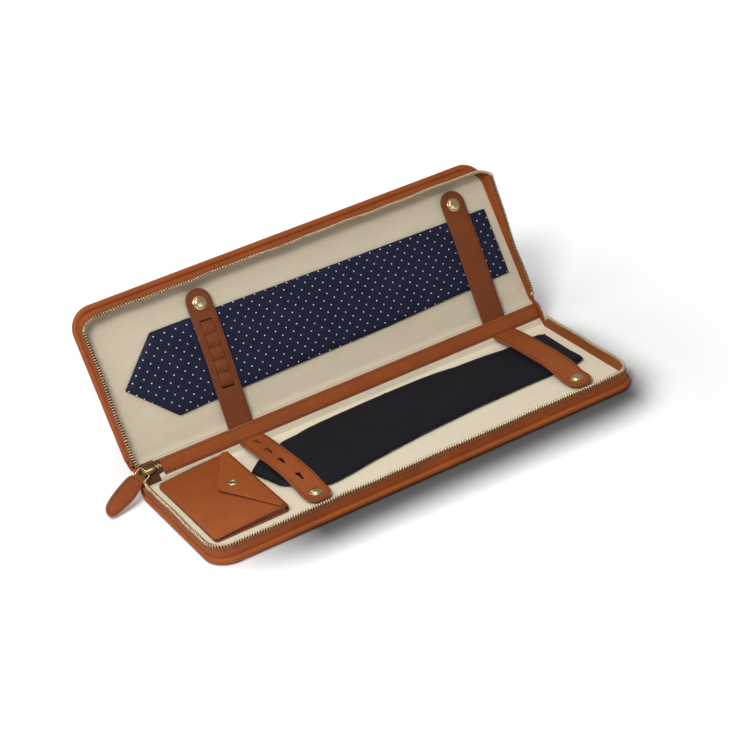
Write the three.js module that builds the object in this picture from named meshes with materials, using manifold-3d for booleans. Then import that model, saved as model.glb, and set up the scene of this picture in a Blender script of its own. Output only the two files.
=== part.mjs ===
// A zip-round case for two ties, standing open: two shallow leather trays joined by a spine strip,
// with tie straps on snap studs, an envelope pouch, and a pin-dot and a plain tie.
// Millimetres, +Z up, X along the case. The origin is the middle of the base's underside.
import * as THREE from "three";
import { mergeVertices } from "three/addons/utils/BufferGeometryUtils.js";
import Module from "manifold-3d";

const wasm = await Module();
wasm.setup();

// Whole case
const caseLength = 410;
const halfDepth = 142; // fold line to the front edge of one tray
const halfHeight = 18; // outer face of a tray to the plane where the two zip rows meet
const foldHeight = 11; // outer face of a tray to its fold line
const lidRise = THREE.MathUtils.degToRad(59.2); // lid above the table behind the case
const cornerRadius = 21;
const touchGap = 0.3; // between pieces that lie on each other
const overrun = 3; // how far cutting shapes reach past what they cut
const roundSteps = 8;

// Outer covers
const coverThickness = 2;
const lipHeight = 5.6;
const lipWidth = 2.2;
const lipRound = 1.3;

// Board, lining, side wall
const boardThickness = 1.6;
const liningThickness = 1.3;
const wallInset = 2.5; // outer face of the side wall behind the cover's edge
const wallThickness = 2.2;
const frontLean = 5; // how far the front wall's rim leans in
const wallBackGap = 9; // fold line to the side wall's back end
const wallEndHeight = 10; // the wall tapers to this at its back end
const wallTaper = 7;

// Zip rows
const zipHeight = 3.4; // side wall's top to the meeting plane
const tapeThickness = 2.2; // at the cord that the teeth are clamped on
const toothPitch = 3.6;
const toothLength = 1.7;
const toothWidth = 2;
const toothTopWidth = 1.5;
const toothHeight = 2.1;
const toothEndSpare = 4;
const rowGap = 0.5; // between the two rows when the case is shut
const stopLength = 2.4;
const stopWidth = 2.8;

// Spine
const bandThickness = 1.1;
const bandInset = 25; // case's left end to the inner band
const bandEndGap = 2;
const spineEndThickness = 1.5;
const spineEndReach = 5;
const spineEndInset = 4.2;
const spineEdge = 1.3; // fold line to what is sewn on the spine strip

// Zip slider at the spine's left end
const sliderInset = 12.5; // case's left end to the slider's middle
const sliderUp = 9.6; // along the spine strip from the base's fold
const sliderLength = 13;
const sliderWidth = 7.6;
const sliderNoseWidth = 4.6;
const sliderPlate = 0.9;
const sliderChannel = 1.6;
const sliderFlange = 0.7;
const bridgeHeight = 2.6;
const bridgeThickness = 0.8;
const bridgeWidth = 1.6;
const bridgeLength = 10;
const tailWidth = 3.4;
const tailThickness = 1;
const tailLength = 5;
const tailToothCount = 2;
const tailToothPitch = 2.1;
const tailToothWidth = 1.7;
const tailToothShift = 0.4; // teeth stand to one side and the other in turn
const tailToothHeight = 0.9;

// Puller
const linkWire = 1.2;
const linkLength = 9;
const linkWidth = 11.6;
const linkBend = 1.4;
const tabLength = 41;
const tabRootWidth = 8.6;
const tabWidth = 14.4;
const tabThickness = 2.6;
const tabTipRadius = 4;
const tabWidestShare = 0.45;
const tabNeckShares = [0.02, 0.08];
const pullerTurn = THREE.MathUtils.degToRad(204.7); // heading of the tab on the spine strip
const pullerLift = THREE.MathUtils.degToRad(3.7); // above the spine strip

// Straps
const strapWidth = 23;
const strapThickness = 1.8;
const strapRootGap = 3.5; // fold line to the strap's root end
const strapRootHeight = 10;
const snapFrontGap = 32; // snap's centre to the tray's front edge
const strapTip = 13; // snap's centre to the strap's round end
const snapClear = 3.4; // strap's underside above the lining at the snap
const strapSteps = 22;
const baseArch = 7.9; // strap's underside above the lining over the folded tie
const lidArch = 5.4;
const archRiseShare = 0.6; // of the way from the root's height to the arch, at the first bend
const archBendShares = [0.12, 0.27, 0.5, 0.72, 0.86]; // of the snap's distance
const archCrown = 0.3; // the arch's middle stands this much higher
const archSettle = 2.7; // flat stretch behind the cap
const baseLeftRootInset = 107; // case's nearer end to each strap's root and snap
const baseLeftSnapInset = 109.3;
const baseRightRootInset = 45.2;
const baseRightSnapInset = 42.5;
const lidLeftRootInset = 103;
const lidLeftSnapInset = 110.6;
const lidRightRootInset = 49;
const lidRightSnapInset = 42.4;
const keyholeWidth = 2.4;
const keyholeHead = 4.8;
const keyholeLength = 11;
const keyholeShares = [0.11, 0.3, 0.5, 0.77]; // of the snap's distance
const loopWidth = 12;
const loopThickness = 0.9;
const loopRise = 1.5;
const loopCount = 5;
const loopFirst = 36; // fold line to the first hump
const loopEndGap = 16.5; // last hump to the snap's centre
const loopSlitWidth = 1.6;

// Snaps
const capRadius = 6;
const capDome = 2.3;
const capStem = 1.7;
const socketRadius = 4.2;
const socketHeight = 1.6;
const socketBore = 2.7;
const studFlange = 4.4;
const studFlangeHeight = 0.7;
const studNeck = 1.6;
const studHead = 2.2;
const domeShares = [[1, 0.2], [0.85, 0.5], [0.5, 0.88], [0, 1]]; // of the cap's radius and dome
const turnSides = 16;

// Pouch
const pouchInset = 15; // case's left end to the pouch
const pouchBack = 5.5; // fold line to the pouch
const pouchWidth = 66;
const pouchFrontGap = 28.5; // pouch to the tray's front edge
const pouchHeight = 6.8;
const pouchWall = 1.2;
const pouchCorner = 4;
const pouchMouth = 6.5; // slot beside the right wall, under the flap
const flapReach = 33;
const flapTipWidth = 5;
const flapTipShare = 0.463; // of the pouch's depth, from its back edge
const flapSpare = 1; // flap's edge inside the pouch's edge
const flapSpine = 4; // straight stretch beside the fold
const pouchCapRadius = 4.3;
const pouchSnapInset = 13.5; // flap's tip to the snap's centre
const pouchPostHeight = 0.5;
const pouchCapDome = 1.8;

// Ties
const dottedThickness = 4.6;
const dottedLeftInset = 22; // case's ends to the tie's ends
const dottedRightInset = 14;
const dottedBackGap = 27.5; // lid's fold line to the tie
const dottedSnapGap = 7.5; // tie to the snaps' centres
const plainThickness = 6.8;
const plainLeftInset = 84.5;
const plainRightInset = 15.5;
const plainBackGap = 12;
const plainSnapGap = 6;
const tieEdge = 2.2;
const tieSides = 10;

// Outlines of the two ties seen from above: share of the length, then the back and the front edge
// as shares of the width from the middle line
const dottedOutlineShares = [
  [0, 0.05, -0.03],
  [0.09, 0.49, -0.49],
  [0.27, 0.49, -0.47],
  [0.5, 0.47, -0.45],
  [0.75, 0.44, -0.43],
  [0.9, 0.42, -0.4],
  [1, 0.41, -0.38],
];
const plainOutlineShares = [
  [0, 0.17, 0.1],
  [0.06, 0.33, -0.24],
  [0.115, 0.4, -0.49],
  [0.2, 0.46, -0.5],
  [0.36, 0.5, -0.4],
  [0.54, 0.49, -0.34],
  [0.71, 0.44, -0.31],
  [0.87, 0.39, -0.3],
  [1, 0.4, -0.28],
];

// Worked out from the sizes above
const spineWidth = 2 * (halfHeight - foldHeight);
const stripTop = coverThickness / 2;
const curlRadius = foldHeight - stripTop - touchGap;
const boardBottom = coverThickness + touchGap;
const liningBottom = boardBottom + boardThickness + touchGap;
const liningTop = liningBottom + liningThickness;
const wallTop = halfHeight - zipHeight;
const zipInset = wallInset + wallThickness / 2;
const snapHeight = liningTop + snapClear;
const studHeight = snapClear - 3 * touchGap - socketHeight / 2;
const snapDistance = halfDepth - snapFrontGap;
const loopPitch = (snapDistance - loopFirst - loopEndGap) / loopCount;
const pouchLeft = alongFromLeft(pouchInset);
const pouchDepth = halfDepth - pouchBack - pouchFrontGap;
const flapTipPlace = flapTipShare * pouchDepth;
const sliderX = alongFromLeft(sliderInset);
const dottedLength = caseLength - dottedLeftInset - dottedRightInset;
const dottedWidth = snapDistance - dottedBackGap - dottedSnapGap;
const dottedMiddle = dottedBackGap + dottedWidth / 2;
const plainLength = caseLength - plainLeftInset - plainRightInset;
const plainWidth = snapDistance - plainBackGap - plainSnapGap;
const plainMiddle = plainBackGap + plainWidth / 2;

/** Place along the case at a distance from its left end. */
function alongFromLeft(inset) {
  return inset - caseLength / 2;
}

/** Place along the case at a distance from its right end. */
function alongFromRight(inset) {
  return caseLength / 2 - inset;
}

function leather(roughness) {
  return new THREE.MeshStandardMaterial({ color: 0xa5572b, roughness, metalness: 0 });
}

function canvas() {
  return new THREE.MeshStandardMaterial({ color: 0xe6dcc8, roughness: 0.95, metalness: 0 });
}

function board() {
  return new THREE.MeshStandardMaterial({ color: 0x8a7a63, roughness: 0.9, metalness: 0 });
}

function brass() {
  return new THREE.MeshStandardMaterial({ color: 0xc9a765, roughness: 0.28, metalness: 1 });
}

function silk(color) {
  return new THREE.MeshStandardMaterial({ color, roughness: 0.7, metalness: 0 });
}

/** Geometry with only merged positions, facing outwards. */
function plain(geometry) {
  geometry.deleteAttribute("normal");
  geometry.deleteAttribute("uv");
  return mergeVertices(geometry);
}

function toSolid(geometry) {
  const merged = plain(geometry);
  const mesh = new wasm.Mesh({
    numProp: 3,
    vertProperties: new Float32Array(merged.attributes.position.array),
    triVerts: new Uint32Array(merged.index.array),
  });
  return new wasm.Manifold(mesh);
}

function toGeometry(solid) {
  const mesh = solid.getMesh();
  const geometry = new THREE.BufferGeometry();
  geometry.setAttribute("position", new THREE.BufferAttribute(new Float32Array(mesh.vertProperties), 3));
  geometry.setIndex(new THREE.BufferAttribute(new Uint32Array(mesh.triVerts), 1));
  return geometry;
}

function join(...pieces) {
  return toGeometry(pieces.map(toSolid).reduce((sum, piece) => sum.add(piece)));
}

function cut(body, ...tools) {
  return toGeometry(tools.map(toSolid).reduce((rest, tool) => rest.subtract(tool), toSolid(body)));
}

function shared(first, second) {
  return toGeometry(toSolid(first).intersect(toSolid(second)));
}

function signedVolume(positions, faces) {
  const [a, b, c] = [new THREE.Vector3(), new THREE.Vector3(), new THREE.Vector3()];
  let sum = 0;
  for (let i = 0; i < faces.length; i += 3) {
    a.fromArray(positions, faces[i] * 3);
    b.fromArray(positions, faces[i + 1] * 3);
    c.fromArray(positions, faces[i + 2] * 3);
    sum += a.dot(b.cross(c));
  }
  return sum;
}

/** Closed solid through rings of equally many points, with flat ends. */
function loft(rings) {
  const count = rings[0].length;
  const positions = rings.flat(2);
  const faces = [];
  const end = (rings.length - 1) * count;
  for (let ring = 0; ring < end; ring += count) {
    for (let i = 0; i < count; i += 1) {
      const j = (i + 1) % count;
      faces.push(ring + i, ring + j, ring + count + j);
      faces.push(ring + i, ring + count + j, ring + count + i);
    }
  }
  for (let i = 1; i + 1 < count; i += 1) {
    faces.push(0, i + 1, i);
    faces.push(end, end + i, end + i + 1);
  }
  if (signedVolume(positions, faces) < 0) faces.reverse();
  const geometry = new THREE.BufferGeometry();
  geometry.setAttribute("position", new THREE.Float32BufferAttribute(positions, 3));
  geometry.setIndex(faces);
  return geometry;
}

/** Upright prism of a plan outline between two heights. */
function prism(shape, bottom, top) {
  const settings = { depth: top - bottom, bevelEnabled: false, curveSegments: roundSteps };
  return new THREE.ExtrudeGeometry(shape, settings).translate(0, 0, bottom);
}

/** Prism along X of a profile drawn in depth and height, centred on X. */
function profileAlongX(shape, length) {
  const settings = { depth: length, bevelEnabled: false, curveSegments: roundSteps };
  const axes = new THREE.Matrix4().makeBasis(
    new THREE.Vector3(0, 1, 0),
    new THREE.Vector3(0, 0, 1),
    new THREE.Vector3(1, 0, 0),
  );
  return new THREE.ExtrudeGeometry(shape, settings).applyMatrix4(axes).translate(-length / 2, 0, 0);
}

function turned(profile) {
  const points = profile.map(([radius, height]) => new THREE.Vector2(radius, height));
  return new THREE.LatheGeometry(points, turnSides).rotateX(Math.PI / 2);
}

function box(left, right, front, back, bottom, top) {
  const shape = new THREE.Shape();
  shape.moveTo(left, front).lineTo(right, front).lineTo(right, back).lineTo(left, back);
  return prism(shape, bottom, top);
}

/** How far the front wall has leaned in at a height above the outer face. */
function leanAt(height) {
  return (frontLean * height) / halfHeight;
}

/** Points round the three outer sides, moved in by inset, from the left back end to the right one. */
function rimPoints(inset, height, backGap) {
  const frontInset = inset + leanAt(height);
  const middle = caseLength / 2 - cornerRadius;
  const front = -halfDepth + cornerRadius;
  const points = [[-caseLength / 2 + inset, -backGap, height]];
  for (const [side, start] of [[-1, Math.PI], [1, 1.5 * Math.PI]]) {
    for (let i = 0; i <= roundSteps; i += 1) {
      const angle = start + (Math.PI * i) / (2 * roundSteps);
      const x = side * middle + (cornerRadius - inset) * Math.cos(angle);
      points.push([x, front + (cornerRadius - frontInset) * Math.sin(angle), height]);
    }
  }
  points.push([caseLength / 2 - inset, -backGap, height]);
  return points;
}

/** Wall round the three outer sides from a section of inset and height. */
function wallRound(section, backGap) {
  const rails = section.map(([inset, height]) => rimPoints(inset, height, backGap));
  return loft(rails[0].map((_, i) => rails.map((rail) => rail[i])));
}

/** Panel with the tray's outline, moved in by inset, between two heights. */
function panel(inset, bottom, top, backGap) {
  return loft([rimPoints(inset, bottom, backGap), rimPoints(inset, top, backGap)]);
}

/** Sheet that lies flat and curls up beside the fold, as a profile along X. */
function curledSheet(length, bottom, thickness, backFace, flatReach) {
  const outer = curlRadius - bottom;
  const centre = backFace - outer;
  const shape = new THREE.Shape();
  shape.moveTo(centre - flatReach, bottom);
  shape.lineTo(centre, bottom);
  shape.absarc(centre, curlRadius, outer, -Math.PI / 2, 0, false);
  shape.lineTo(backFace - thickness, curlRadius);
  shape.absarc(centre, curlRadius, outer - thickness, 0, -Math.PI / 2, true);
  shape.lineTo(centre - flatReach, bottom + thickness);
  return profileAlongX(shape, length);
}

/** Leather cover: flat sheet, rolled lip round three sides, curl beside the fold. */
function coverGeometry() {
  const slabBack = curlRadius - coverThickness / 2;
  const rings = [];
  for (let i = 0; i <= roundSteps; i += 1) {
    const angle = Math.PI * (i / roundSteps - 0.5);
    const height = (lipHeight / 2) * (1 + Math.sin(angle));
    const ring = rimPoints(lipRound * (1 - Math.cos(angle)), 0, slabBack);
    rings.push(ring.map(([x, y]) => [x, y, height]));
  }
  const hollow = panel(lipWidth, coverThickness, lipHeight + overrun, -overrun);
  const curl = curledSheet(caseLength - 2 * lipRound, 0, coverThickness, coverThickness / 2, overrun);
  return join(cut(loft(rings), hollow), curl);
}

function boardGeometry() {
  const inset = wallInset + wallThickness + touchGap + leanAt(boardThickness);
  return panel(inset, boardBottom, boardBottom + boardThickness, curlRadius);
}

/** Canvas panel that curls up to the fold. */
function liningGeometry() {
  const backFace = -coverThickness / 2 - touchGap;
  const sheet = curledSheet(caseLength, liningBottom, liningThickness, backFace, halfDepth);
  const inset = wallInset + wallThickness + touchGap + leanAt(liningThickness);
  return shared(sheet, panel(inset, liningBottom - overrun, foldHeight, -overrun));
}

/** Leather side wall, with its back ends cut down towards the fold. */
function wallGeometry() {
  const inner = wallInset + wallThickness;
  const foot = coverThickness + touchGap;
  const section = [[wallInset, foot], [inner, foot], [inner, wallTop], [wallInset, wallTop]];
  const wall = wallRound(section, wallBackGap);
  const taper = new THREE.Shape();
  taper.moveTo(-wallBackGap - wallTaper, wallTop);
  taper.lineTo(-wallBackGap + overrun, wallEndHeight);
  taper.lineTo(-wallBackGap + overrun, halfHeight);
  taper.lineTo(-wallBackGap - wallTaper, halfHeight);
  return cut(wall, profileAlongX(taper, caseLength));
}

/** Middle line of the zip row at a height. */
function zipLine(height) {
  const points = rimPoints(zipInset, height, wallBackGap + wallTaper);
  const line = new THREE.CurvePath();
  for (let i = 0; i + 1 < points.length; i += 1) {
    const [start, end] = [points[i], points[i + 1]].map((p) => new THREE.Vector3(...p));
    line.add(new THREE.LineCurve3(start, end));
  }
  return line;
}

/** One tooth: a block with a narrower head, its length along X. */
function toothGeometry() {
  const ring = (width, height) => [
    [-toothLength / 2, -width / 2, height],
    [toothLength / 2, -width / 2, height],
    [toothLength / 2, width / 2, height],
    [-toothLength / 2, width / 2, height],
  ];
  return loft([ring(toothWidth, 0), ring(toothTopWidth, toothHeight)]);
}

/** Zip tape with its row of teeth. The lid's row is half a pitch on, so that the rows alternate. */
function zipGeometry(startShare) {
  const tapeBottom = wallTop + touchGap;
  const toothTop = halfHeight - rowGap / 2;
  const toothBottom = toothTop - toothHeight;
  const tapeTop = toothBottom + toothHeight / 2;
  const [near, far] = [zipInset - tapeThickness / 2, zipInset + tapeThickness / 2];
  const section = [[near, tapeBottom], [far, tapeBottom], [far, tapeTop], [near, tapeTop]];
  const tape = toSolid(wallRound(section, wallBackGap + wallTaper));
  const line = zipLine(toothBottom);
  const length = line.getLength();
  const teeth = [];
  let along = toothEndSpare + startShare * toothPitch;
  while (along < length - toothEndSpare) {
    const place = line.getPointAt(along / length);
    const heading = line.getTangentAt(along / length);
    const tooth = toothGeometry();
    tooth.rotateZ(Math.atan2(heading.y, heading.x));
    teeth.push(toSolid(tooth.translate(place.x, place.y, place.z)));
    along += toothPitch;
  }
  return toGeometry(teeth.reduce((row, tooth) => row.add(tooth), tape));
}

/** Brass clamp past the row's end at one side: 1 or -1. */
function stopGeometry(side) {
  const middle = side * (caseLength / 2 - zipInset);
  const back = -wallBackGap - wallTaper + touchGap;
  const half = stopWidth / 2;
  const bottom = halfHeight - rowGap / 2 - toothHeight - touchGap;
  return box(middle - half, middle + half, back, back + stopLength, bottom, bottom + toothHeight);
}

/** Line of the strap's underside from its root to its end. */
function strapLine(arch) {
  const top = liningTop + arch;
  const [rise, back, middle, front, fall] = archBendShares.map((share) => share * snapDistance);
  const points = [
    [strapRootGap, strapRootHeight],
    [rise, THREE.MathUtils.lerp(strapRootHeight, top, archRiseShare)],
    [back, top],
    [middle, top + archCrown],
    [front, top],
    [fall, (top + snapHeight) / 2],
    [snapDistance - capRadius - archSettle, snapHeight + archCrown],
    [snapDistance - capRadius, snapHeight],
    [snapDistance + strapTip, snapHeight],
  ];
  const places = points.map(([y, z]) => new THREE.Vector3(0, -y, z));
  return new THREE.CatmullRomCurve3(places, false, "centripetal");
}

/** Plan outline of a strap with a round end, from the root towards the front. */
function strapOutline() {
  const shape = new THREE.Shape();
  const half = strapWidth / 2;
  const turn = -snapDistance - strapTip + half;
  shape.moveTo(half, -strapRootGap);
  shape.lineTo(-half, -strapRootGap);
  shape.lineTo(-half, turn);
  shape.absarc(0, turn, half, Math.PI, 2 * Math.PI, false);
  return shape;
}

/** Arched strap with the hole for its snap's stem. */
function strapGeometry(arch) {
  const line = strapLine(arch).getSpacedPoints(strapSteps);
  const shape = new THREE.Shape();
  line.forEach((p, i) => (i ? shape.lineTo(p.y, p.z) : shape.moveTo(p.y, p.z)));
  line.reverse().forEach((p) => shape.lineTo(p.y, p.z + strapThickness));
  const strip = profileAlongX(shape, strapWidth + overrun);
  const outline = prism(strapOutline(), 0, 2 * halfHeight);
  const hole = new THREE.Shape().absarc(0, -snapDistance, capStem + touchGap, 0, 2 * Math.PI, false);
  return cut(shared(strip, outline), prism(hole, 0, 2 * halfHeight));
}

/** Keyhole slot along the strap: a round head towards the fold and a slit towards the snap. */
function keyholeTool(distance) {
  const shape = new THREE.Shape();
  const half = keyholeWidth / 2;
  const bend = Math.asin(keyholeWidth / keyholeHead);
  const head = -distance + keyholeLength / 2;
  const tail = -distance - keyholeLength / 2 + half;
  shape.absarc(0, head, keyholeHead / 2, -Math.PI / 2 + bend, 1.5 * Math.PI - bend, false);
  shape.lineTo(-half, tail);
  shape.absarc(0, tail, half, Math.PI, 2 * Math.PI, false);
  return prism(shape, 0, 2 * halfHeight);
}

/** Slits beside the loops, across the strap. */
function slitTool(distance) {
  const half = loopWidth / 2 + touchGap;
  const front = -distance - loopSlitWidth / 2;
  return box(-half, half, front, front + loopSlitWidth, 0, 2 * halfHeight);
}

/** Narrow strip on the strap that stands up in a hump between each two slits. */
function loopGeometry() {
  const line = strapLine(lidArch);
  const seat = line.getSpacedPoints(4 * strapSteps);
  const seatAt = (distance) => {
    const next = seat.findIndex((p) => -p.y >= distance);
    const [a, b] = [seat[next - 1], seat[next]];
    return THREE.MathUtils.mapLinear(distance, -a.y, -b.y, a.z, b.z) + strapThickness + touchGap;
  };
  const steps = loopCount * roundSteps;
  const under = [];
  for (let i = 0; i <= steps; i += 1) {
    const distance = loopFirst + (loopPitch * loopCount * i) / steps;
    const hump = Math.abs(Math.sin((Math.PI * i) / roundSteps));
    under.push([-distance, seatAt(distance) + loopRise * hump]);
  }
  const shape = new THREE.Shape();
  under.forEach(([y, z], i) => (i ? shape.lineTo(y, z) : shape.moveTo(y, z)));
  under.reverse().forEach(([y, z]) => shape.lineTo(y, z + loopThickness));
  return profileAlongX(shape, loopWidth);
}

/** Profile of a domed top from its rim inwards. */
function domeProfile(radius, seat, dome) {
  return domeShares.map(([radiusShare, share]) => [radiusShare * radius, seat + share * dome]);
}

/** Domed cap with its stem through the strap and a socket underneath, from the strap's underside. */
function capGeometry() {
  const top = strapThickness + touchGap;
  const under = -touchGap;
  return turned([
    [0, under - socketHeight / 2],
    [socketBore, under - socketHeight / 2],
    [socketBore, under - socketHeight],
    [socketRadius, under - socketHeight],
    [socketRadius, under],
    [capStem, under],
    [capStem, top],
    [capRadius, top],
    ...domeProfile(capRadius, top, capDome),
  ]);
}

/** Stud that the socket snaps on, from its seat up. */
function studGeometry() {
  return turned([
    [0, 0],
    [studFlange, 0],
    [studFlange, studFlangeHeight],
    [studNeck, studFlangeHeight],
    [studHead, studHeight - (studHead - studNeck)],
    [studNeck, studHeight],
    [0, studHeight],
  ]);
}

/** Envelope pouch: a flat pocket whose mouth lies beside its right wall. */
function pouchGeometry() {
  const left = pouchLeft;
  const right = pouchLeft + pouchWidth;
  const back = -pouchBack;
  const front = -pouchBack - pouchDepth;
  const bottom = liningTop + touchGap;
  const shape = new THREE.Shape();
  shape.moveTo(left + pouchCorner, front);
  shape.lineTo(right, front);
  shape.lineTo(right, back);
  shape.lineTo(left + pouchCorner, back);
  shape.absarc(left + pouchCorner, back - pouchCorner, pouchCorner, Math.PI / 2, Math.PI, false);
  shape.absarc(left + pouchCorner, front + pouchCorner, pouchCorner, Math.PI, 1.5 * Math.PI, false);
  const [low, high] = [bottom + pouchWall, bottom + pouchHeight - pouchWall];
  const [innerRight, innerFront, innerBack] = [right - pouchWall, front + pouchWall, back - pouchWall];
  const inside = box(left + pouchWall, innerRight, innerFront, innerBack, low, high);
  const mouth = box(innerRight - pouchMouth, innerRight, innerFront, innerBack, low, high + overrun);
  return cut(prism(shape, bottom, bottom + pouchHeight), inside, mouth);
}

/** Pouch flap: from the right edge over the mouth to a blunt point. */
function flapGeometry() {
  const side = pouchLeft + pouchWidth;
  const bottom = liningTop + pouchHeight + 2 * touchGap;
  const back = -pouchBack - flapSpare;
  const front = -pouchBack - pouchDepth + flapSpare;
  const tip = side - flapReach;
  const tipBack = -pouchBack - flapTipPlace + flapTipWidth / 2;
  const shape = new THREE.Shape();
  shape.moveTo(side, front).lineTo(side, back).lineTo(side - flapSpine, back);
  shape.lineTo(tip, tipBack).lineTo(tip, tipBack - flapTipWidth).lineTo(side - flapSpine, front);
  const hole = new THREE.Shape();
  hole.absarc(tip + pouchSnapInset, -pouchBack - flapTipPlace, capStem + touchGap, 0, 2 * Math.PI, false);
  return cut(prism(shape, bottom, bottom + pouchWall), prism(hole, 0, 2 * halfHeight));
}

/** Flat folded tie: thin at its edges and crowned between them. */
function tieGeometry(outlineShares, length, width, thickness) {
  const curve = (column) => new THREE.CatmullRomCurve3(
    outlineShares.slice(1).map((row) => new THREE.Vector3(row[0] * length, row[column] * width, 0)),
  ).getPoints(2 * outlineShares.length);
  const [back, front] = [curve(1), curve(2)];
  const [tip] = outlineShares;
  back.unshift(new THREE.Vector3(0, tip[1] * width, 0));
  front.unshift(new THREE.Vector3(0, tip[2] * width, 0));
  return loft(back.map((b, i) => {
    const f = front[i];
    const crown = (thickness - tieEdge) * Math.min(1, (b.y - f.y) / (width / 2));
    const ring = [[b.x, b.y, 0]];
    for (let k = 0; k <= tieSides; k += 1) {
      const share = k / tieSides;
      const rise = Math.sqrt(Math.max(0, 1 - (2 * share - 1) ** 2));
      ring.push([b.x + (f.x - b.x) * share, b.y + (f.y - b.y) * share, tieEdge + crown * rise]);
    }
    ring.push([f.x, f.y, 0]);
    return ring;
  }));
}

/** Outer leather strip between the two folds. Its edges are round about the fold lines. */
function spineGeometry() {
  const shape = new THREE.Shape();
  shape.absarc(0, 0, stripTop, Math.PI / 2, 1.5 * Math.PI, false);
  shape.absarc(spineWidth, 0, stripTop, -Math.PI / 2, Math.PI / 2, false);
  return profileAlongX(shape, caseLength - 2 * lipRound);
}

function bandGeometry() {
  const bottom = stripTop + touchGap;
  const right = caseLength / 2 - spineEndInset - bandEndGap;
  const left = alongFromLeft(bandInset);
  return box(left, right, spineEdge, spineWidth - spineEdge, bottom, bottom + bandThickness);
}

/** Leather end piece that closes the gap between the two walls at the right. */
function spineEndGeometry() {
  const low = stripTop + touchGap;
  const middle = spineWidth / 2;
  const shape = new THREE.Shape();
  shape.moveTo(spineEdge, low).lineTo(spineWidth - spineEdge, low);
  shape.lineTo(middle + spineEndReach / 4, low + spineEndReach);
  shape.lineTo(middle - spineEndReach / 4, low + spineEndReach);
  return profileAlongX(shape, spineEndThickness).translate(caseLength / 2 - spineEndInset, 0, 0);
}

/** Plan of the slider: wide where the rows run in at the left, narrower where the closed tail leaves. */
function sliderPlan(spare) {
  const shape = new THREE.Shape();
  const half = sliderWidth / 2 - spare;
  const nose = sliderNoseWidth / 2 - spare;
  shape.moveTo(sliderLength / 2, -nose).lineTo(sliderLength / 2, nose);
  shape.lineTo(0, half).lineTo(-sliderLength / 2, half);
  shape.lineTo(-sliderLength / 2, -half).lineTo(0, -half);
  return shape;
}

/** Zip slider: two plates joined by a wedge and side flanges, with the bridge for the puller on top. */
function sliderGeometry() {
  const top = 2 * sliderPlate + sliderChannel;
  const bodyShape = prism(sliderPlan(0), 0, top);
  const channel = prism(sliderPlan(sliderFlange), sliderPlate, sliderPlate + sliderChannel);
  const wideChannel = box(-sliderLength, sliderLength, -tailWidth / 2 - touchGap, tailWidth / 2 + touchGap,
    sliderPlate, sliderPlate + sliderChannel);
  const wedgeShape = new THREE.Shape();
  const wedge = sliderNoseWidth / 4;
  wedgeShape.moveTo(-sliderLength / 2, -wedge).lineTo(0, 0).lineTo(-sliderLength / 2, wedge);
  const wedgeBlock = prism(wedgeShape, 0, top);
  const arch = box(-bridgeLength / 2, bridgeLength / 2, -bridgeWidth / 2, bridgeWidth / 2,
    top - sliderPlate / 2, top + bridgeHeight);
  const archHole = box(-bridgeLength / 2 + bridgeThickness, bridgeLength / 2 - bridgeThickness,
    -bridgeWidth, bridgeWidth, top, top + bridgeHeight - bridgeThickness);
  return join(cut(bodyShape, channel, wideChannel), wedgeBlock, cut(arch, archHole));
}

/** Short closed end of the zip between the slider and the band. */
function tailGeometry() {
  const left = sliderLength / 2 + touchGap;
  const half = tailWidth / 2;
  const strip = box(left, left + tailLength, -half, half, 0, tailThickness);
  const teeth = [];
  for (let i = 0; i < tailToothCount; i += 1) {
    const start = left + tailToothPitch / 4 + i * tailToothPitch;
    const side = i % 2 ? tailToothShift : -tailToothShift;
    const [front, back] = [side - tailToothWidth / 2, side + tailToothWidth / 2];
    const top = tailThickness + tailToothHeight / 2;
    teeth.push(box(start, start + toothLength, front, back, tailThickness / 2, top));
  }
  return join(strip, ...teeth);
}

/** Wire link: a rounded rectangle from the bar under the slider's bridge to the bar in the tab. */
function linkGeometry() {
  const reach = linkLength - linkWire;
  const half = (linkWidth - linkWire) / 2;
  const corners = [[reach, half, 0], [0, half, 1], [0, -half, 2], [reach, -half, 3]];
  const rings = [];
  for (const [x, y, quarter] of corners) {
    const centre = [x - linkBend * Math.sign(x - reach / 2), y - linkBend * Math.sign(y)];
    for (let i = 0; i <= roundSteps / 2; i += 1) {
      const angle = (Math.PI / 2) * (quarter + (2 * i) / roundSteps);
      const ring = [];
      for (let k = 0; k < roundSteps; k += 1) {
        const turn = (2 * Math.PI * k) / roundSteps;
        const out = linkBend + (linkWire / 2) * Math.cos(turn);
        const height = (linkWire / 2) * Math.sin(turn);
        ring.push([centre[0] + out * Math.cos(angle), centre[1] + out * Math.sin(angle), height]);
      }
      rings.push(ring);
    }
  }
  return closedLoop(rings);
}

/** Closed solid through a loop of rings, the last joined to the first. */
function closedLoop(rings) {
  const count = rings[0].length;
  const positions = rings.flat(2);
  const total = rings.length * count;
  const faces = [];
  for (let ring = 0; ring < total; ring += count) {
    const next = (ring + count) % total;
    for (let i = 0; i < count; i += 1) {
      const j = (i + 1) % count;
      faces.push(ring + i, ring + j, next + j, ring + i, next + j, next + i);
    }
  }
  if (signedVolume(positions, faces) < 0) faces.reverse();
  const geometry = new THREE.BufferGeometry();
  geometry.setAttribute("position", new THREE.Float32BufferAttribute(positions, 3));
  geometry.setIndex(faces);
  return geometry;
}

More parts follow.
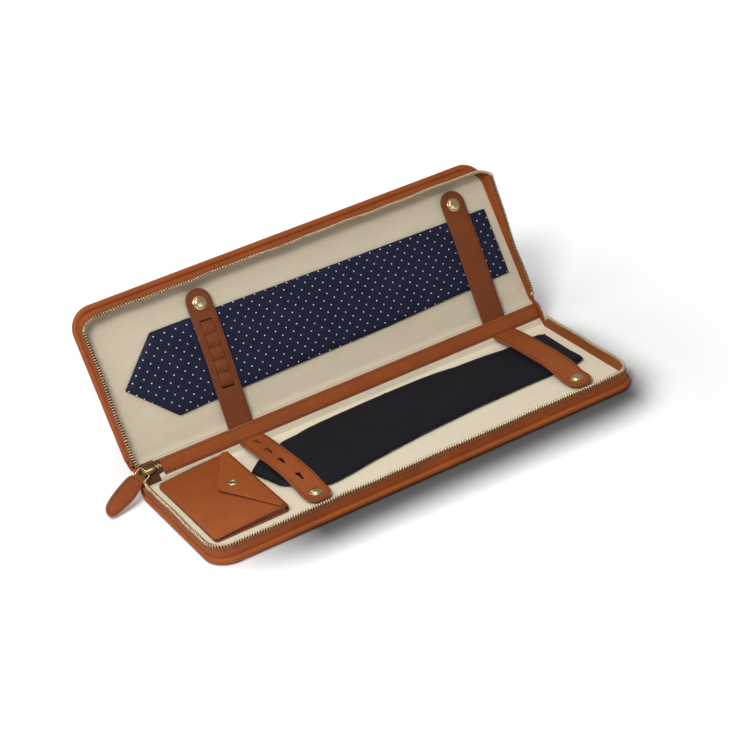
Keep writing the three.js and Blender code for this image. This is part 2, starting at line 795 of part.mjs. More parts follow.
/** Leather tab: folded round the link's bar, wider below, with a rounded point. */
function tabGeometry() {
  const start = linkLength - linkWire;
  const end = start + tabLength;
  const wide = start + tabWidestShare * tabLength;
  const [neckEnd, shoulder] = tabNeckShares.map((share) => start + share * tabLength);
  const shape = new THREE.Shape();
  const [root, half] = [tabRootWidth / 2, tabWidth / 2];
  shape.moveTo(start, -root);
  shape.bezierCurveTo(neckEnd, -root, shoulder, -half, wide, -half);
  shape.bezierCurveTo(end - tabTipRadius, -half, end, -tabTipRadius, end, 0);
  shape.bezierCurveTo(end, tabTipRadius, end - tabTipRadius, half, wide, half);
  shape.bezierCurveTo(shoulder, half, neckEnd, root, start, root);
  const bore = linkWire / 2 + touchGap;
  const rod = (radius, length) => {
    return new THREE.CylinderGeometry(radius, radius, length, turnSides).translate(start, 0, 0);
  };
  const fold = rod(bore + tabThickness / 2, tabRootWidth);
  const leaf = prism(shape, -tabThickness / 2, tabThickness / 2);
  return cut(join(leaf, fold), rod(bore, tabRootWidth + overrun));
}

function piece(parent, name, geometry, material, place = [0, 0, 0]) {
  const mesh = new THREE.Mesh(geometry, material);
  mesh.name = name;
  mesh.position.set(...place);
  parent.add(mesh);
  return mesh;
}

/**
 * One tray, drawn with its fold line on X at the tray's outer face and its front towards -Y.
 * stopSide is the side of the row's stopped end, away from the slider.
 */
function tray(name, rowShare, stopSide) {
  const group = new THREE.Group();
  piece(group, `${name}_cover`, coverGeometry(), leather(0.5));
  piece(group, `${name}_board`, boardGeometry(), board());
  piece(group, `${name}_lining`, liningGeometry(), canvas());
  piece(group, `${name}_gusset`, wallGeometry(), leather(0.52));
  piece(group, `${name}_zip`, zipGeometry(rowShare), brass());
  piece(group, `${name}_zip_stop`, stopGeometry(stopSide), brass());
  return group;
}

/** A strap with its snap, turned a little where it is sewn on, in the tray's frame. */
function addStrap(group, name, geometry, rootX, snapX) {
  const strap = new THREE.Group();
  strap.position.x = rootX;
  strap.rotation.z = Math.atan2(snapX - rootX, snapDistance);
  group.add(strap);
  piece(strap, `${name}_strap`, geometry, leather(0.48));
  piece(strap, `${name}_snap_cap`, capGeometry(), brass(), [0, -snapDistance, snapHeight]);
  const seat = liningTop + touchGap;
  piece(strap, `${name}_snap_stud`, studGeometry(), brass(), [0, -snapDistance, seat]);
  return strap;
}

/** Pouch with its flap, and the snap that holds the flap down. */
function pouch(group) {
  const seat = liningTop + pouchHeight + 2 * touchGap;
  const x = pouchLeft + pouchWidth - flapReach + pouchSnapInset;
  const y = -pouchBack - flapTipPlace;
  piece(group, "pouch_body", pouchGeometry(), leather(0.5));
  piece(group, "pouch_flap", flapGeometry(), leather(0.5));
  const stemEnd = pouchPostHeight + touchGap;
  const under = pouchWall + touchGap;
  const cap = turned([
    [0, stemEnd],
    [capStem, stemEnd],
    [capStem, under],
    [pouchCapRadius, under],
    ...domeProfile(pouchCapRadius, under, pouchCapDome),
  ]);
  piece(group, "pouch_snap_cap", cap, brass(), [x, y, seat]);
  const post = turned([[0, 0], [capStem, 0], [capStem, pouchPostHeight], [0, pouchPostHeight]]);
  piece(group, "pouch_snap_post", post, brass(), [x, y, seat]);
}

const tieCase = new THREE.Group();

// The base lies on its underside, with the fold line behind its middle
const base = tray("base", 0, 1);
base.position.y = halfDepth / 2;
tieCase.add(base);
const keyholes = keyholeShares.map((share) => keyholeTool(share * snapDistance));
const keyholeStrap = cut(strapGeometry(baseArch), ...keyholes);
addStrap(
  base,
  "base_left",
  keyholeStrap,
  alongFromLeft(baseLeftRootInset),
  alongFromLeft(baseLeftSnapInset),
);
addStrap(
  base,
  "base_right",
  strapGeometry(baseArch),
  alongFromRight(baseRightRootInset),
  alongFromRight(baseRightSnapInset),
);
pouch(base);
const plainTie = tieGeometry(plainOutlineShares, plainLength, plainWidth, plainThickness);
const plainPlace = [alongFromLeft(plainLeftInset), -plainMiddle, liningTop + touchGap];
piece(base, "tie_plain", plainTie, silk(0x23242c), plainPlace);

// The spine strip turns about the base's fold line, and the lid about the strip's far edge
const spine = new THREE.Group();
spine.position.set(0, halfDepth / 2, foldHeight);
spine.rotation.x = lidRise;
tieCase.add(spine);
piece(spine, "spine_cover", spineGeometry(), leather(0.5));
piece(spine, "spine_band", bandGeometry(), leather(0.46));
piece(spine, "spine_end_right", spineEndGeometry(), leather(0.52));
piece(spine, "zip_slider", sliderGeometry(), brass(), [sliderX, sliderUp, stripTop + touchGap]);
piece(spine, "zip_tail", tailGeometry(), brass(), [sliderX, sliderUp, stripTop + touchGap]);

const lid = new THREE.Group();
lid.position.set(0, spineWidth, -foldHeight);
lid.rotation.z = Math.PI;
spine.add(lid);
lid.add(tray("lid", 0.5, -1));
const slits = [];
for (let i = 0; i <= loopCount; i += 1) slits.push(slitTool(loopFirst + i * loopPitch));
const slitStrap = cut(strapGeometry(lidArch), ...slits);
const leftStrap = addStrap(
  lid,
  "lid_left",
  slitStrap,
  alongFromRight(lidLeftRootInset),
  alongFromRight(lidLeftSnapInset),
);
piece(leftStrap, "lid_loop_strip", loopGeometry(), leather(0.46));
addStrap(
  lid,
  "lid_right",
  strapGeometry(lidArch),
  alongFromLeft(lidRightRootInset),
  alongFromLeft(lidRightSnapInset),
);
const dottedTie = tieGeometry(dottedOutlineShares, dottedLength, dottedWidth, dottedThickness);
dottedTie.rotateZ(Math.PI);
const dottedPlace = [alongFromRight(dottedLeftInset), -dottedMiddle, liningTop + touchGap];
piece(lid, "tie_dotted", dottedTie, silk(0x1b2140), dottedPlace);

// The puller hangs from the slider's bridge, out over the case's left end
const swing = new THREE.Group();
const barX = sliderX - bridgeLength / 2 + bridgeThickness + touchGap + linkWire / 2;
const barHeight = stripTop + 2 * touchGap + 2 * sliderPlate + sliderChannel + linkWire / 2;
swing.position.set(barX, sliderUp, barHeight);
swing.rotation.set(0, -pullerLift, pullerTurn, "ZYX");
spine.add(swing);
piece(swing, "puller_link", linkGeometry(), brass());
piece(swing, "puller_tab", tabGeometry(), leather(0.5));

export default tieCase;
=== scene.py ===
"""Looks of a zip-round case for two ties, standing open: leather, canvas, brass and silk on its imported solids."""
import logging
from dataclasses import dataclass
from enum import Enum
from functools import cached_property
from math import atan2, copysign, cos, hypot, pi, radians, sin, sqrt
from typing import Callable, Iterable, Sequence

import bmesh
import bpy
from bmesh.types import BMEdge, BMesh, BMFace, BMVert
from mathutils import Matrix, Vector
from mathutils.geometry import interpolate_bezier


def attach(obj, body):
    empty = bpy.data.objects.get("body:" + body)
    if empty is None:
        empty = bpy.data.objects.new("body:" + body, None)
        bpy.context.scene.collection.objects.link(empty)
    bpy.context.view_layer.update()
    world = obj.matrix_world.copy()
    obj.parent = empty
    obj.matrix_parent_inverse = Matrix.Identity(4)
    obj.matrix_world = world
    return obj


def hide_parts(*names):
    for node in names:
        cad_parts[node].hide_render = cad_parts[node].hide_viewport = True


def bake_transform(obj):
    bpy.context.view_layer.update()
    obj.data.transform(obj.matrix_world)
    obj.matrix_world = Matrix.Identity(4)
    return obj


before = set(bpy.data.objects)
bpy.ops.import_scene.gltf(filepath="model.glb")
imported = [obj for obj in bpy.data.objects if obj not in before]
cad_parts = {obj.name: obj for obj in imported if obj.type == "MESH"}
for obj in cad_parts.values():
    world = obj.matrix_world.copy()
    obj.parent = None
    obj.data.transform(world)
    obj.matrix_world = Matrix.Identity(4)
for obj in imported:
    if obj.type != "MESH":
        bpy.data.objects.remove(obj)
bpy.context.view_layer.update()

LOG = logging.getLogger("tie_case")
UP = Vector((0, 0, 1))
Point = tuple[float, float]
Color = tuple[float, float, float]
Rule = Callable[[Vector], Vector]
Socket = bpy.types.NodeSocket


@dataclass(frozen=True)
class CaseSizes:
    """Sizes shared by the whole case, in millimetres and radians."""

    length: float = 410.0
    half_length: float = 205.0
    half_depth: float = 142.0
    half_height: float = 18.0
    fold_height: float = 11.0
    rise: float = radians(59.2)
    corner: float = 21.0
    corner_x: float = 184.0
    corner_y: float = -121.0
    spine_width: float = 14.0
    lining_top: float = 5.5
    wall_top: float = 14.6
    wall_inset: float = 2.5
    zip_inset: float = 3.6
    tooth_pitch: float = 2.3
    curl: float = 9.7


CASE = CaseSizes()


def unit(value: float) -> float:
    """The value, held between 0 and 1."""
    return max(0.0, min(1.0, value))


def ease(share: float) -> float:
    """A share from 0 to 1 that starts and ends softly."""
    return share * share * (3 - 2 * share)


def shade(color: Color, share: float) -> Color:
    """The colour, darker or lighter by that share."""
    return tuple(min(1.0, c * share) for c in color)


def arc(x: float, y: float, radius: float, start: float, sweep: float, steps: int,
        z: float = 0.0) -> list[Vector]:
    """Points of an arc about a level centre, from the start angle on."""
    angles = [start + sweep * i / steps for i in range(steps + 1)]
    return [Vector((x + radius * cos(a), y + radius * sin(a), z)) for a in angles]


def at(x: float, y: float, z: float) -> Matrix:
    """A shift."""
    return Matrix.Translation((x, y, z))


class Place(Enum):
    """The frame a piece is drawn in: a tray with its fold line on X and its front towards -Y, or the spine."""

    BASE = "base"
    SPINE = "spine"
    LID = "lid"

    @property
    def matrix(self) -> Matrix:
        """From this frame, in millimetres, to the scene, in metres."""
        base = Matrix.Scale(0.001, 4) @ at(0, CASE.half_depth / 2, 0)
        spine = base @ at(0, 0, CASE.fold_height) @ Matrix.Rotation(CASE.rise, 4, "X")
        lid = spine @ at(0, CASE.spine_width, -CASE.fold_height) @ Matrix.Rotation(pi, 4, "Z")
        return {Place.BASE: base, Place.SPINE: spine, Place.LID: lid}[self]


class Value:
    """A number that a node gives, so that formulas can be written with it."""

    def __init__(self, board: "Board", socket: Socket) -> None:
        """Keeps the node's output and the board that it is on."""
        self.board, self.socket = board, socket

    def __add__(self, other: "Value | float") -> "Value":
        """Sum."""
        return self.board.math("ADD", self, other)

    def __radd__(self, other: float) -> "Value":
        """Sum, the plain number first."""
        return self.board.math("ADD", other, self)

    def __sub__(self, other: "Value | float") -> "Value":
        """Difference."""
        return self.board.math("SUBTRACT", self, other)

    def __rsub__(self, other: float) -> "Value":
        """Difference, the plain number first."""
        return self.board.math("SUBTRACT", other, self)

    def __mul__(self, other: "Value | float") -> "Value":
        """Product."""
        return self.board.math("MULTIPLY", self, other)


class Board:
    """The node tree of a material or a world."""

    def __init__(self, owner: bpy.types.Material | bpy.types.World) -> None:
        """Opens the owner's node tree."""
        owner.use_nodes = True
        self.owner, self.tree = owner, owner.node_tree
        self.shader = self.tree.nodes.get("Principled BSDF")

    def feed(self, node: bpy.types.Node, key: int | str, value: object) -> None:
        """Links an output to a node's socket, or sets the socket, by its number or its name."""
        socket = node.inputs[key.replace("_", " ") if isinstance(key, str) else key]
        if isinstance(value, (Value, Socket)):
            self.tree.links.new(value.socket if isinstance(value, Value) else value, socket)
        else:
            socket.default_value = value

    def add(self, kind: str, **inputs: object) -> bpy.types.Node:
        """Adds a node.

        Args:
            kind: the node's type without its ShaderNode prefix.
            inputs: properties by name, and sockets by name with spaces as underscores, or as i and their number.

        Returns:
            The node.
        """
        node = self.tree.nodes.new("ShaderNode" + kind)
        for key, value in inputs.items():
            if hasattr(node, key):
                setattr(node, key, value)
            else:
                self.feed(node, int(key[1:]) if key[1:].isdigit() else key, value)
        return node

    def set(self, **inputs: object) -> None:
        """Sets or links the shader's sockets, by name with spaces as underscores."""
        for key, value in inputs.items():
            self.feed(self.shader, key, value)

    @property
    def where(self) -> Socket:
        """The place on the piece, in metres."""
        return self.add("TexCoord").outputs["Object"]

    @property
    def flat(self) -> Socket:
        """The place on the piece's flat map, in metres."""
        return self.add("UVMap", uv_map="flat").outputs[0]

    def axes(self, where: Socket) -> list[Value]:
        """The parts of a place along X, Y and Z."""
        return [Value(self, output) for output in self.add("SeparateXYZ", Vector=where).outputs]

    def math(self, operation: str, a: object, b: object = 0.0) -> Value:
        """Joins two values with a Math node."""
        return Value(self, self.add("Math", operation=operation, i0=a, i1=b).outputs[0])

    def noise(self, where: Socket, scale: float, detail: float = 3.0, stretch: Color | None = None) -> Value:
        """Noise of that many cells to the metre, drawn on a place that may be stretched."""
        if stretch:
            where = self.add("Mapping", Vector=where, Scale=stretch).outputs[0]
        node = self.add("TexNoise", Vector=where, Scale=scale, Detail=detail, Roughness=0.6)
        return Value(self, node.outputs["Fac"])

    def blend(self, share: Value, first: Color | Socket, second: Color | Socket) -> Socket:
        """Colour between two colours, by the share of the second."""
        a, b = (c if isinstance(c, Socket) else (*c, 1.0) for c in (first, second))
        return self.add("Mix", data_type="RGBA", i0=share, i6=a, i7=b).outputs[2]

    def ramp(self, value: Value | Socket, low: float, high: float) -> Value:
        """Value stretched so that low becomes 0 and high becomes 1."""
        return Value(self, self.add("MapRange", Value=value, From_Min=low, From_Max=high).outputs[0])

    def bump(self, height: Value, depth: float, strength: float, **base: Socket) -> Socket:
        """Normal of a surface with that relief, its depth in metres."""
        return self.add("Bump", Height=height, Distance=depth, Strength=strength, **base).outputs[0]


@dataclass(frozen=True)
class Recipe:
    """A material before it is made."""

    name: str
    color: Color
    slot = ""

    def build(self) -> bpy.types.Material:
        """Makes the material and returns it."""
        board = Board(bpy.data.materials.new(self.name))
        self.dress(board)
        return board.owner

    def dress(self, b: Board) -> None:
        """Fills the node tree; each kind of material does it its own way."""
        raise NotImplementedError


@dataclass(frozen=True)
class Leather(Recipe):
    """Smooth tan calf leather with a fine grain and a soft sheen."""

    roughness: float
    grain: float = 1.0
    slot = "leather_tan"

    def dress(self, b: Board) -> None:
        """Draws pores, fibre, clouds of tone and soft creases."""
        where = b.where
        cells = b.add("TexVoronoi", feature="DISTANCE_TO_EDGE", Vector=where, Scale=1300.0, Randomness=1.0)
        pores = b.ramp(cells.outputs["Distance"], 0.0, 0.22)
        fibre, clouds, creases = b.noise(where, 420.0, 5.0), b.noise(where, 26.0, 4.0), b.noise(where, 120.0, 6.0)
        dark = shade(self.color, 0.62)
        tone = b.blend(b.ramp(clouds, 0.3, 0.72), dark, shade(self.color, 1.22))
        tone = b.blend(b.ramp(fibre, 0.25, 0.8), shade(self.color, 0.86), tone)
        tone = b.blend((1.0 - pores) * 0.22, tone, dark)
        relief = pores * (0.55 * self.grain) + fibre * 0.5 + creases * 0.9
        b.set(Base_Color=tone, Roughness=self.roughness - 0.07 + fibre * 0.16,
              Normal=b.bump(relief, 0.00011, 0.75), Specular_IOR_Level=0.28, IOR=1.45)


@dataclass(frozen=True)
class Edge(Recipe):
    """Cut leather edge, painted and burnished."""

    def dress(self, b: Board) -> None:
        """Draws the drag of the tool and patches of tone."""
        where = b.where
        drag, patch = b.noise(where, 700.0), b.noise(where, 60.0)
        tone = b.blend(b.ramp(patch, 0.3, 0.7), shade(self.color, 0.7), self.color)
        b.set(Base_Color=tone, Roughness=0.3 + drag * 0.2, Normal=b.bump(drag, 0.00005, 0.6), IOR=1.5)


@dataclass(frozen=True)
class Canvas(Recipe):
    """Plain-woven cotton, on the piece's flat map in metres."""

    pitch: float = 0.00062
    sheen: float = 0.15

    def dress(self, b: Board) -> None:
        """Draws warp and weft, thick threads, clouds of tone and soft waves."""
        where = b.flat
        axes = b.axes(where)[:2]
        wobble = (b.noise(where, 240.0, 2.0) - 0.5) * 1.3
        warp, weft = [b.math("SINE", axis * (2 * pi / self.pitch) + wobble) for axis in axes]
        weave = (warp * weft + 1.0) * 0.5
        slub = b.noise(where, 1.0, 3.0, (900.0, 130.0, 1.0))
        clouds = b.noise(where, 22.0)
        tone = b.blend(b.ramp(slub, 0.3, 0.75), shade(self.color, 0.9), self.color)
        tone = b.blend(b.ramp(clouds, 0.25, 0.75), shade(self.color, 0.95), tone)
        tone = b.blend((1.0 - weave) * 0.3, tone, shade(self.color, 0.84))
        height = weave + slub * 0.7
        crumple = b.noise(where, 1.0, 2.0, (34.0, 62.0, 1.0))
        waves = b.bump(crumple, 0.0016 if self.sheen else 0.0, 0.8)
        b.set(Base_Color=tone, Roughness=0.92, Normal=b.bump(height, 0.00012, 0.55, Normal=waves),
              Sheen_Weight=self.sheen, Sheen_Roughness=0.5)


@dataclass(frozen=True)
class Silk(Recipe):
    """Fine twill silk on the piece's flat map in metres, with or without pin dots."""

    dots: float = 0.0
    dot_size: float = 0.0007
    twill: float = 0.0008

    @property
    def slot(self) -> str:
        """The material slot's name is the material's name."""
        return self.name

    def dress(self, b: Board) -> None:
        """Draws the twill, clouds of tone and the dots."""
        where = b.flat
        x, y = b.axes(where)[:2]
        height = twill = (b.math("SINE", (x + y) * (2 * pi / self.twill)) + 1.0) * 0.5
        clouds = b.noise(where, 35.0)
        dark = shade(self.color, 0.6)
        tone = b.blend(twill * 0.6, dark, shade(self.color, 1.5))
        tone = b.blend(b.ramp(clouds, 0.3, 0.75), dark, tone)
        if self.dots:
            spots = []
            for shift in (0.0, 0.5):
                u, v = [b.math("FRACT", axis * (1 / self.dots) + shift) - 0.5 for axis in (x, y)]
                spots.append(b.math("SQRT", u * u + v * v))
            near = b.math("MINIMUM", *spots) * self.dots
            spot = b.ramp(near, self.dot_size * 1.15, self.dot_size * 0.8)
            tone = b.blend(spot, tone, (0.74, 0.76, 0.8))
            height = twill + spot * 0.8
        b.set(Base_Color=tone, Roughness=0.62, Normal=b.bump(height, 0.00006, 0.5), Specular_IOR_Level=0.16,
              Sheen_Weight=0.02, Sheen_Roughness=0.4)


@dataclass(frozen=True)
class Brass(Recipe):
    """Polished brass with fine handling marks."""

    roughness: float
    slot = "brass"

    def dress(self, b: Board) -> None:
        """Draws the marks and a thin patina."""
        where = b.where
        marks, patina = b.noise(where, 900.0, 4.0, (1.0, 0.25, 1.0)), b.noise(where, 160.0, 4.0)
        tone = b.blend(b.ramp(patina, 0.35, 0.8), self.color, shade(self.color, 0.72))
        b.set(Base_Color=tone, Metallic=1.0, Normal=b.bump(marks, 0.00002, 0.35),
              Roughness=self.roughness - 0.05 + marks * 0.16)


@dataclass(frozen=True)
class Thread(Recipe):
    """Waxed sewing thread."""

    def dress(self, b: Board) -> None:
        """Draws the twist."""
        twist = Value(b, b.add("TexWave", Vector=b.where, Scale=900.0, bands_direction="DIAGONAL").outputs["Fac"])
        tone = b.blend(twist * 0.5, self.color, shade(self.color, 0.6))
        b.set(Base_Color=tone, Roughness=0.6, Normal=b.bump(twist, 0.00005, 0.5))


TAN = (0.335, 0.0765, 0.0125)


class Finish(Enum):
    """Every finish of the case, made when it is first used."""

    COVER = Leather("leather_cover", TAN, 0.56)
    WALL = Leather("leather_wall", shade(TAN, 0.9), 0.58)
    STRAP = Leather("leather_strap", shade(TAN, 0.9), 0.54, 1.2)
    # Painted shade: the lid's straps are the straps' tan leather, darkened to stand in for the lid lying in less
    # light.
    SHADED_LID_STRAP = Leather("leather_lid_strap_painted_shade", shade(TAN, 0.52), 0.6, 1.2)
    EDGE = Edge("leather_edge", (0.2, 0.062, 0.022))
    CREASE = Edge("leather_crease", (0.46, 0.19, 0.1))
    CANVAS = Canvas("canvas_lining", (0.72, 0.63, 0.475))
    # Painted shade: the lid's lining is the same canvas as the base's, darkened to stand in for the lid getting
    # less light.
    SHADED_LID_CANVAS = Canvas("canvas_lid_lining_painted_shade", (0.565, 0.485, 0.36))
    TAPE = Canvas("zip_tape", (0.085, 0.028, 0.008), 0.0005, 0.0)
    BRASS = Brass("brass_polished", (0.78, 0.6, 0.33), 0.2)
    TEETH = Brass("brass_teeth", (0.83, 0.67, 0.42), 0.3)
    # Very dark brass for the slider: partly the slider's own antique finish and partly painted shade, standing in
    # for the slider lying in shade.
    ANTIQUE_AND_SHADE = Brass("brass_antique_and_painted_shade", (0.16, 0.125, 0.045), 0.3)
    THREAD = Thread("thread_brown", (0.075, 0.024, 0.008))
    BOARD = Canvas("board_fibre", (0.25, 0.2, 0.13), 0.0011, 0.0)
    DOTTED = Silk("silk_pin_dot", (0.011, 0.013, 0.038), 0.0104, 0.00052)
    PLAIN = Silk("silk_plain", (0.008, 0.0085, 0.013))

    @cached_property
    def material(self) -> bpy.types.Material:
        """The finish's material."""
        return self.value.build()


class Path:
    """A line through points, walked by its length."""

    def __init__(self, points: Iterable[Sequence[float]]) -> None:
        """Measures the line through the points."""
        self.points = [Vector(p) for p in points]
        self.stations = [0.0]
        for a, b in zip(self.points, self.points[1:]):
            self.stations.append(self.stations[-1] + (b - a).length)

    @property
    def length(self) -> float:
        """Its whole length."""
        return self.stations[-1]

    def at(self, distance: float) -> tuple[Vector, Vector]:
        """Where the line is.

        Args:
            distance: how far along; past an end, the end's direction goes on.

        Returns:
            The place and the heading.
        """
        last = len(self.points) - 2
        i = next((k for k in range(last + 1) if self.stations[k + 1] >= distance), last)
        a, b = self.points[i], self.points[i + 1]
        span = max(self.stations[i + 1] - self.stations[i], 1e-9)
        return a + (b - a) * ((distance - self.stations[i]) / span), (b - a).normalized()

    def smooth(self, steps: int = 6) -> "Path":
        """The same line rounded through its points with a Catmull-Rom curve."""
        pts, made = self.points, []
        for i in range(len(pts) - 1):
            before, after = pts[max(i - 1, 0)], pts[min(i + 2, len(pts) - 1)]
            h1, h2 = pts[i] + (pts[i + 1] - before) / 6, pts[i + 1] - (after - pts[i]) / 6
            made += interpolate_bezier(pts[i], h1, h2, pts[i + 1], steps + 1)[:-1]
        return Path([*made, pts[-1]])


def bevel(bm: BMesh, geometry: list[BMVert] | list[BMEdge], offset: float, segments: int, affect: str = "EDGES",
          clamp: bool = False) -> None:
    """Rounds edges, or the corners of a flat face where affect says VERTICES."""
    bmesh.ops.bevel(bm, geom=geometry, offset=offset, offset_type="OFFSET", segments=segments, profile=0.5,
                    affect=affect, material=-1, clamp_overlap=clamp)


class Workpiece:
    """A bmesh in millimetres in one place's frame, until it becomes an object of the scene."""

    def __init__(self, name: str, matrix: Matrix) -> None:
        """Starts an empty piece.

        Args:
            name: the object's name.
            matrix: from the piece's frame to the scene.
        """
        self.name, self.matrix, self.bm = name, matrix, bmesh.new()

    def loop(self, points: Iterable[Sequence[float]], closed: bool = True, rounding: float = 0.0,
             segments: int = 3) -> list[BMEdge]:
        """Draws a line of edges.

        Args:
            points: its corners.
            closed: whether the last joins the first.
            rounding: how far its corners are rounded.
            segments: steps of each rounding.

        Returns:
            Its edges.
        """
        verts = [self.bm.verts.new(p) for p in points]
        pairs = list(zip(verts, verts[1:])) + ([(verts[-1], verts[0])] if closed else [])
        edges = [self.bm.edges.new(p) for p in pairs]
        if rounding:
            others = set(self.bm.edges) - set(edges)
            bevel(self.bm, verts, rounding, segments, "VERTICES")
            edges = [e for e in self.bm.edges if e not in others]
        return edges

    def face(self, points: Iterable[Sequence[float]]) -> BMFace:
        """Draws one flat face."""
        return self.bm.faces.new([self.bm.verts.new(p) for p in points])

    def fill(self, edges: list[BMEdge]) -> None:
        """Fills closed lines that lie flat."""
        bmesh.ops.triangle_fill(self.bm, use_beauty=True, use_dissolve=False, edges=edges, normal=UP)

    def pull(self, edges: list[BMEdge], move: Sequence[float], steps: int = 1) -> list[BMEdge]:
        """Extrudes edges along a straight way and returns the last edges."""
        for _ in range(steps):
            made = bmesh.ops.extrude_edge_only(self.bm, edges=edges)["geom"]
            verts = {g for g in made if isinstance(g, BMVert)}
            edges = [g for g in made if isinstance(g, BMEdge) and set(g.verts) <= verts]
            bmesh.ops.translate(self.bm, verts=list(verts), vec=Vector(move) / steps)
        return edges

    def turn(self, edges: list[BMEdge], centre: Sequence[float], angle: float, steps: int,
             axis: Sequence[float] = UP, merge: bool = False) -> list[BMEdge]:
        """Spins edges round an axis and returns the last edges."""
        verts = list({v for e in edges for v in e.verts})
        made = bmesh.ops.spin(self.bm, geom=verts + edges, cent=centre, axis=axis, dvec=(0, 0, 0), angle=angle,
                              steps=steps, use_merge=merge, use_duplicate=False)["geom_last"]
        return [g for g in made if isinstance(g, BMEdge)]

    def lathe(self, profile: Sequence[Point], steps: int) -> None:
        """Turns a profile of radius and height into a closed round body."""
        edges = self.loop([(r, 0, z) for r, z in profile], closed=False)
        self.turn(edges, (0, 0, 0), 2 * pi, steps, merge=True)
        self.close()

    def thicken(self, faces: list[BMFace], move: Sequence[float]) -> list[BMVert]:
        """Extrudes a flat region into a closed solid and returns its moved corners."""
        made = bmesh.ops.extrude_face_region(self.bm, geom=faces, use_keep_orig=True)["geom"]
        verts = [g for g in made if isinstance(g, BMVert)]
        bmesh.ops.translate(self.bm, verts=verts, vec=move)
        return verts

    def plate(self, points: Iterable[Sequence[float]], move: Sequence[float], rounding: float = 0.0) -> None:
        """Makes a closed plate from an outline and the way through its thickness."""
        edges = self.loop(points, rounding=rounding)
        self.thicken(bmesh.ops.contextual_create(self.bm, geom=edges)["faces"], move)

    def shell(self, thickness: float) -> None:
        """Gives an open sheet its thickness, below it where the thickness is positive."""
        self.outwards()
        if sum(f.normal.z for f in self.bm.faces) < 0:
            bmesh.ops.reverse_faces(self.bm, faces=self.bm.faces[:])
        bmesh.ops.solidify(self.bm, geom=self.bm.faces[:], thickness=thickness)
        self.outwards()

    def outwards(self) -> None:
        """Turns the faces outwards."""
        bmesh.ops.recalc_face_normals(self.bm, faces=self.bm.faces[:])

    def slice(self, axis: int, stations: Iterable[float]) -> None:
        """Cuts the faces across an axis at each station, so that they can bend."""
        normal = Vector((axis == 0, axis == 1, axis == 2))
        for station in stations:
            geometry = self.bm.verts[:] + self.bm.edges[:] + self.bm.faces[:]
            bmesh.ops.bisect_plane(self.bm, geom=geometry, dist=1e-5, plane_co=normal * station, plane_no=normal)

    def shape(self, *rules: Rule) -> None:
        """Moves each corner by one rule after the other."""
        for rule in rules:
            for v in self.bm.verts:
                v.co = rule(v.co.copy())

    def soften(self, angle: float, width: float, segments: int = 2,
               only: Callable[[BMEdge], bool] = lambda edge: True) -> None:
        """Bevels the edges that turn more than an angle in degrees."""
        self.bm.normal_update()
        sharp = [e for e in self.bm.edges
                 if len(e.link_faces) == 2 and e.calc_face_angle(0) > radians(angle) and only(e)]
        bevel(self.bm, sharp, width, segments, clamp=True)

    def trim(self, width: float, segments: int = 2) -> None:
        """Turns a cut sheet's faces outwards, gives its cut sides the second finish and rounds its edges."""
        self.outwards()
        self.bm.normal_update()
        for face in self.bm.faces:
            if abs(face.normal.z) < 0.5:
                face.material_index = 1
        self.soften(60, width, segments)

    def close(self) -> None:
        """Merges doubles, closes the open ends and turns the faces outwards."""
        bmesh.ops.remove_doubles(self.bm, verts=self.bm.verts[:], dist=1e-4)
        bmesh.ops.holes_fill(self.bm, edges=[e for e in self.bm.edges if len(e.link_faces) == 1], sides=0)
        self.outwards()

    def stamp(self, mesh: bpy.types.Mesh, matrix: Matrix) -> None:
        """Adds a copy of a small mesh."""
        before = len(self.bm.verts)
        self.bm.from_mesh(mesh)
        self.bm.verts.ensure_lookup_table()
        bmesh.ops.transform(self.bm, matrix=matrix, verts=self.bm.verts[before:])

    def map_flat(self, rule: Callable[[Vector], Point] = lambda p: (p.x, p.y)) -> None:
        """Writes the flat map, in metres, from the corners as they are now."""
        layer = self.bm.loops.layers.uv.get("flat") or self.bm.loops.layers.uv.new("flat")
        for face in self.bm.faces:
            for corner in face.loops:
                u, v = rule(corner.vert.co)
                corner[layer].uv = (u * 0.001, v * 0.001)

    def finish(self, body: str, *finishes: Finish, node: str = "", crease: float = 38.0,
               slot: str = "") -> bpy.types.Object:
        """Makes the object, dresses it and lets it ride.

        Args:
            body: the body it rides on, or an empty name where it rides on none.
            finishes: what it is made of, the main one first.
            node: the solid it stands for.
            crease: edges that turn more than this many degrees stay sharp.
            slot: a material slot's name, where it isn't the main finish's own; it is worked out but not used.

        Returns:
            The object.
        """
        bm = self.bm
        if not bm.loops.layers.uv.get("flat"):
            self.map_flat()
        bmesh.ops.transform(bm, matrix=self.matrix, verts=bm.verts[:])
        bm.normal_update()
        for face in bm.faces:
            face.smooth = True
        for e in bm.edges:
            e.smooth = len(e.link_faces) == 2 and e.calc_face_angle(0) < radians(crease)
        mesh = bpy.data.meshes.new(self.name)
        bm.to_mesh(mesh)
        bm.free()
        for finish in finishes:
            mesh.materials.append(finish.material)
        piece = bpy.data.objects.new(self.name, mesh)
        bpy.context.scene.collection.objects.link(piece)
        if node:
            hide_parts(node)
        slot = slot or finishes[0].value.slot
        if body:
            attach(piece, body)
        LOG.info("%s: %d faces", self.name, len(mesh.polygons))
        return piece


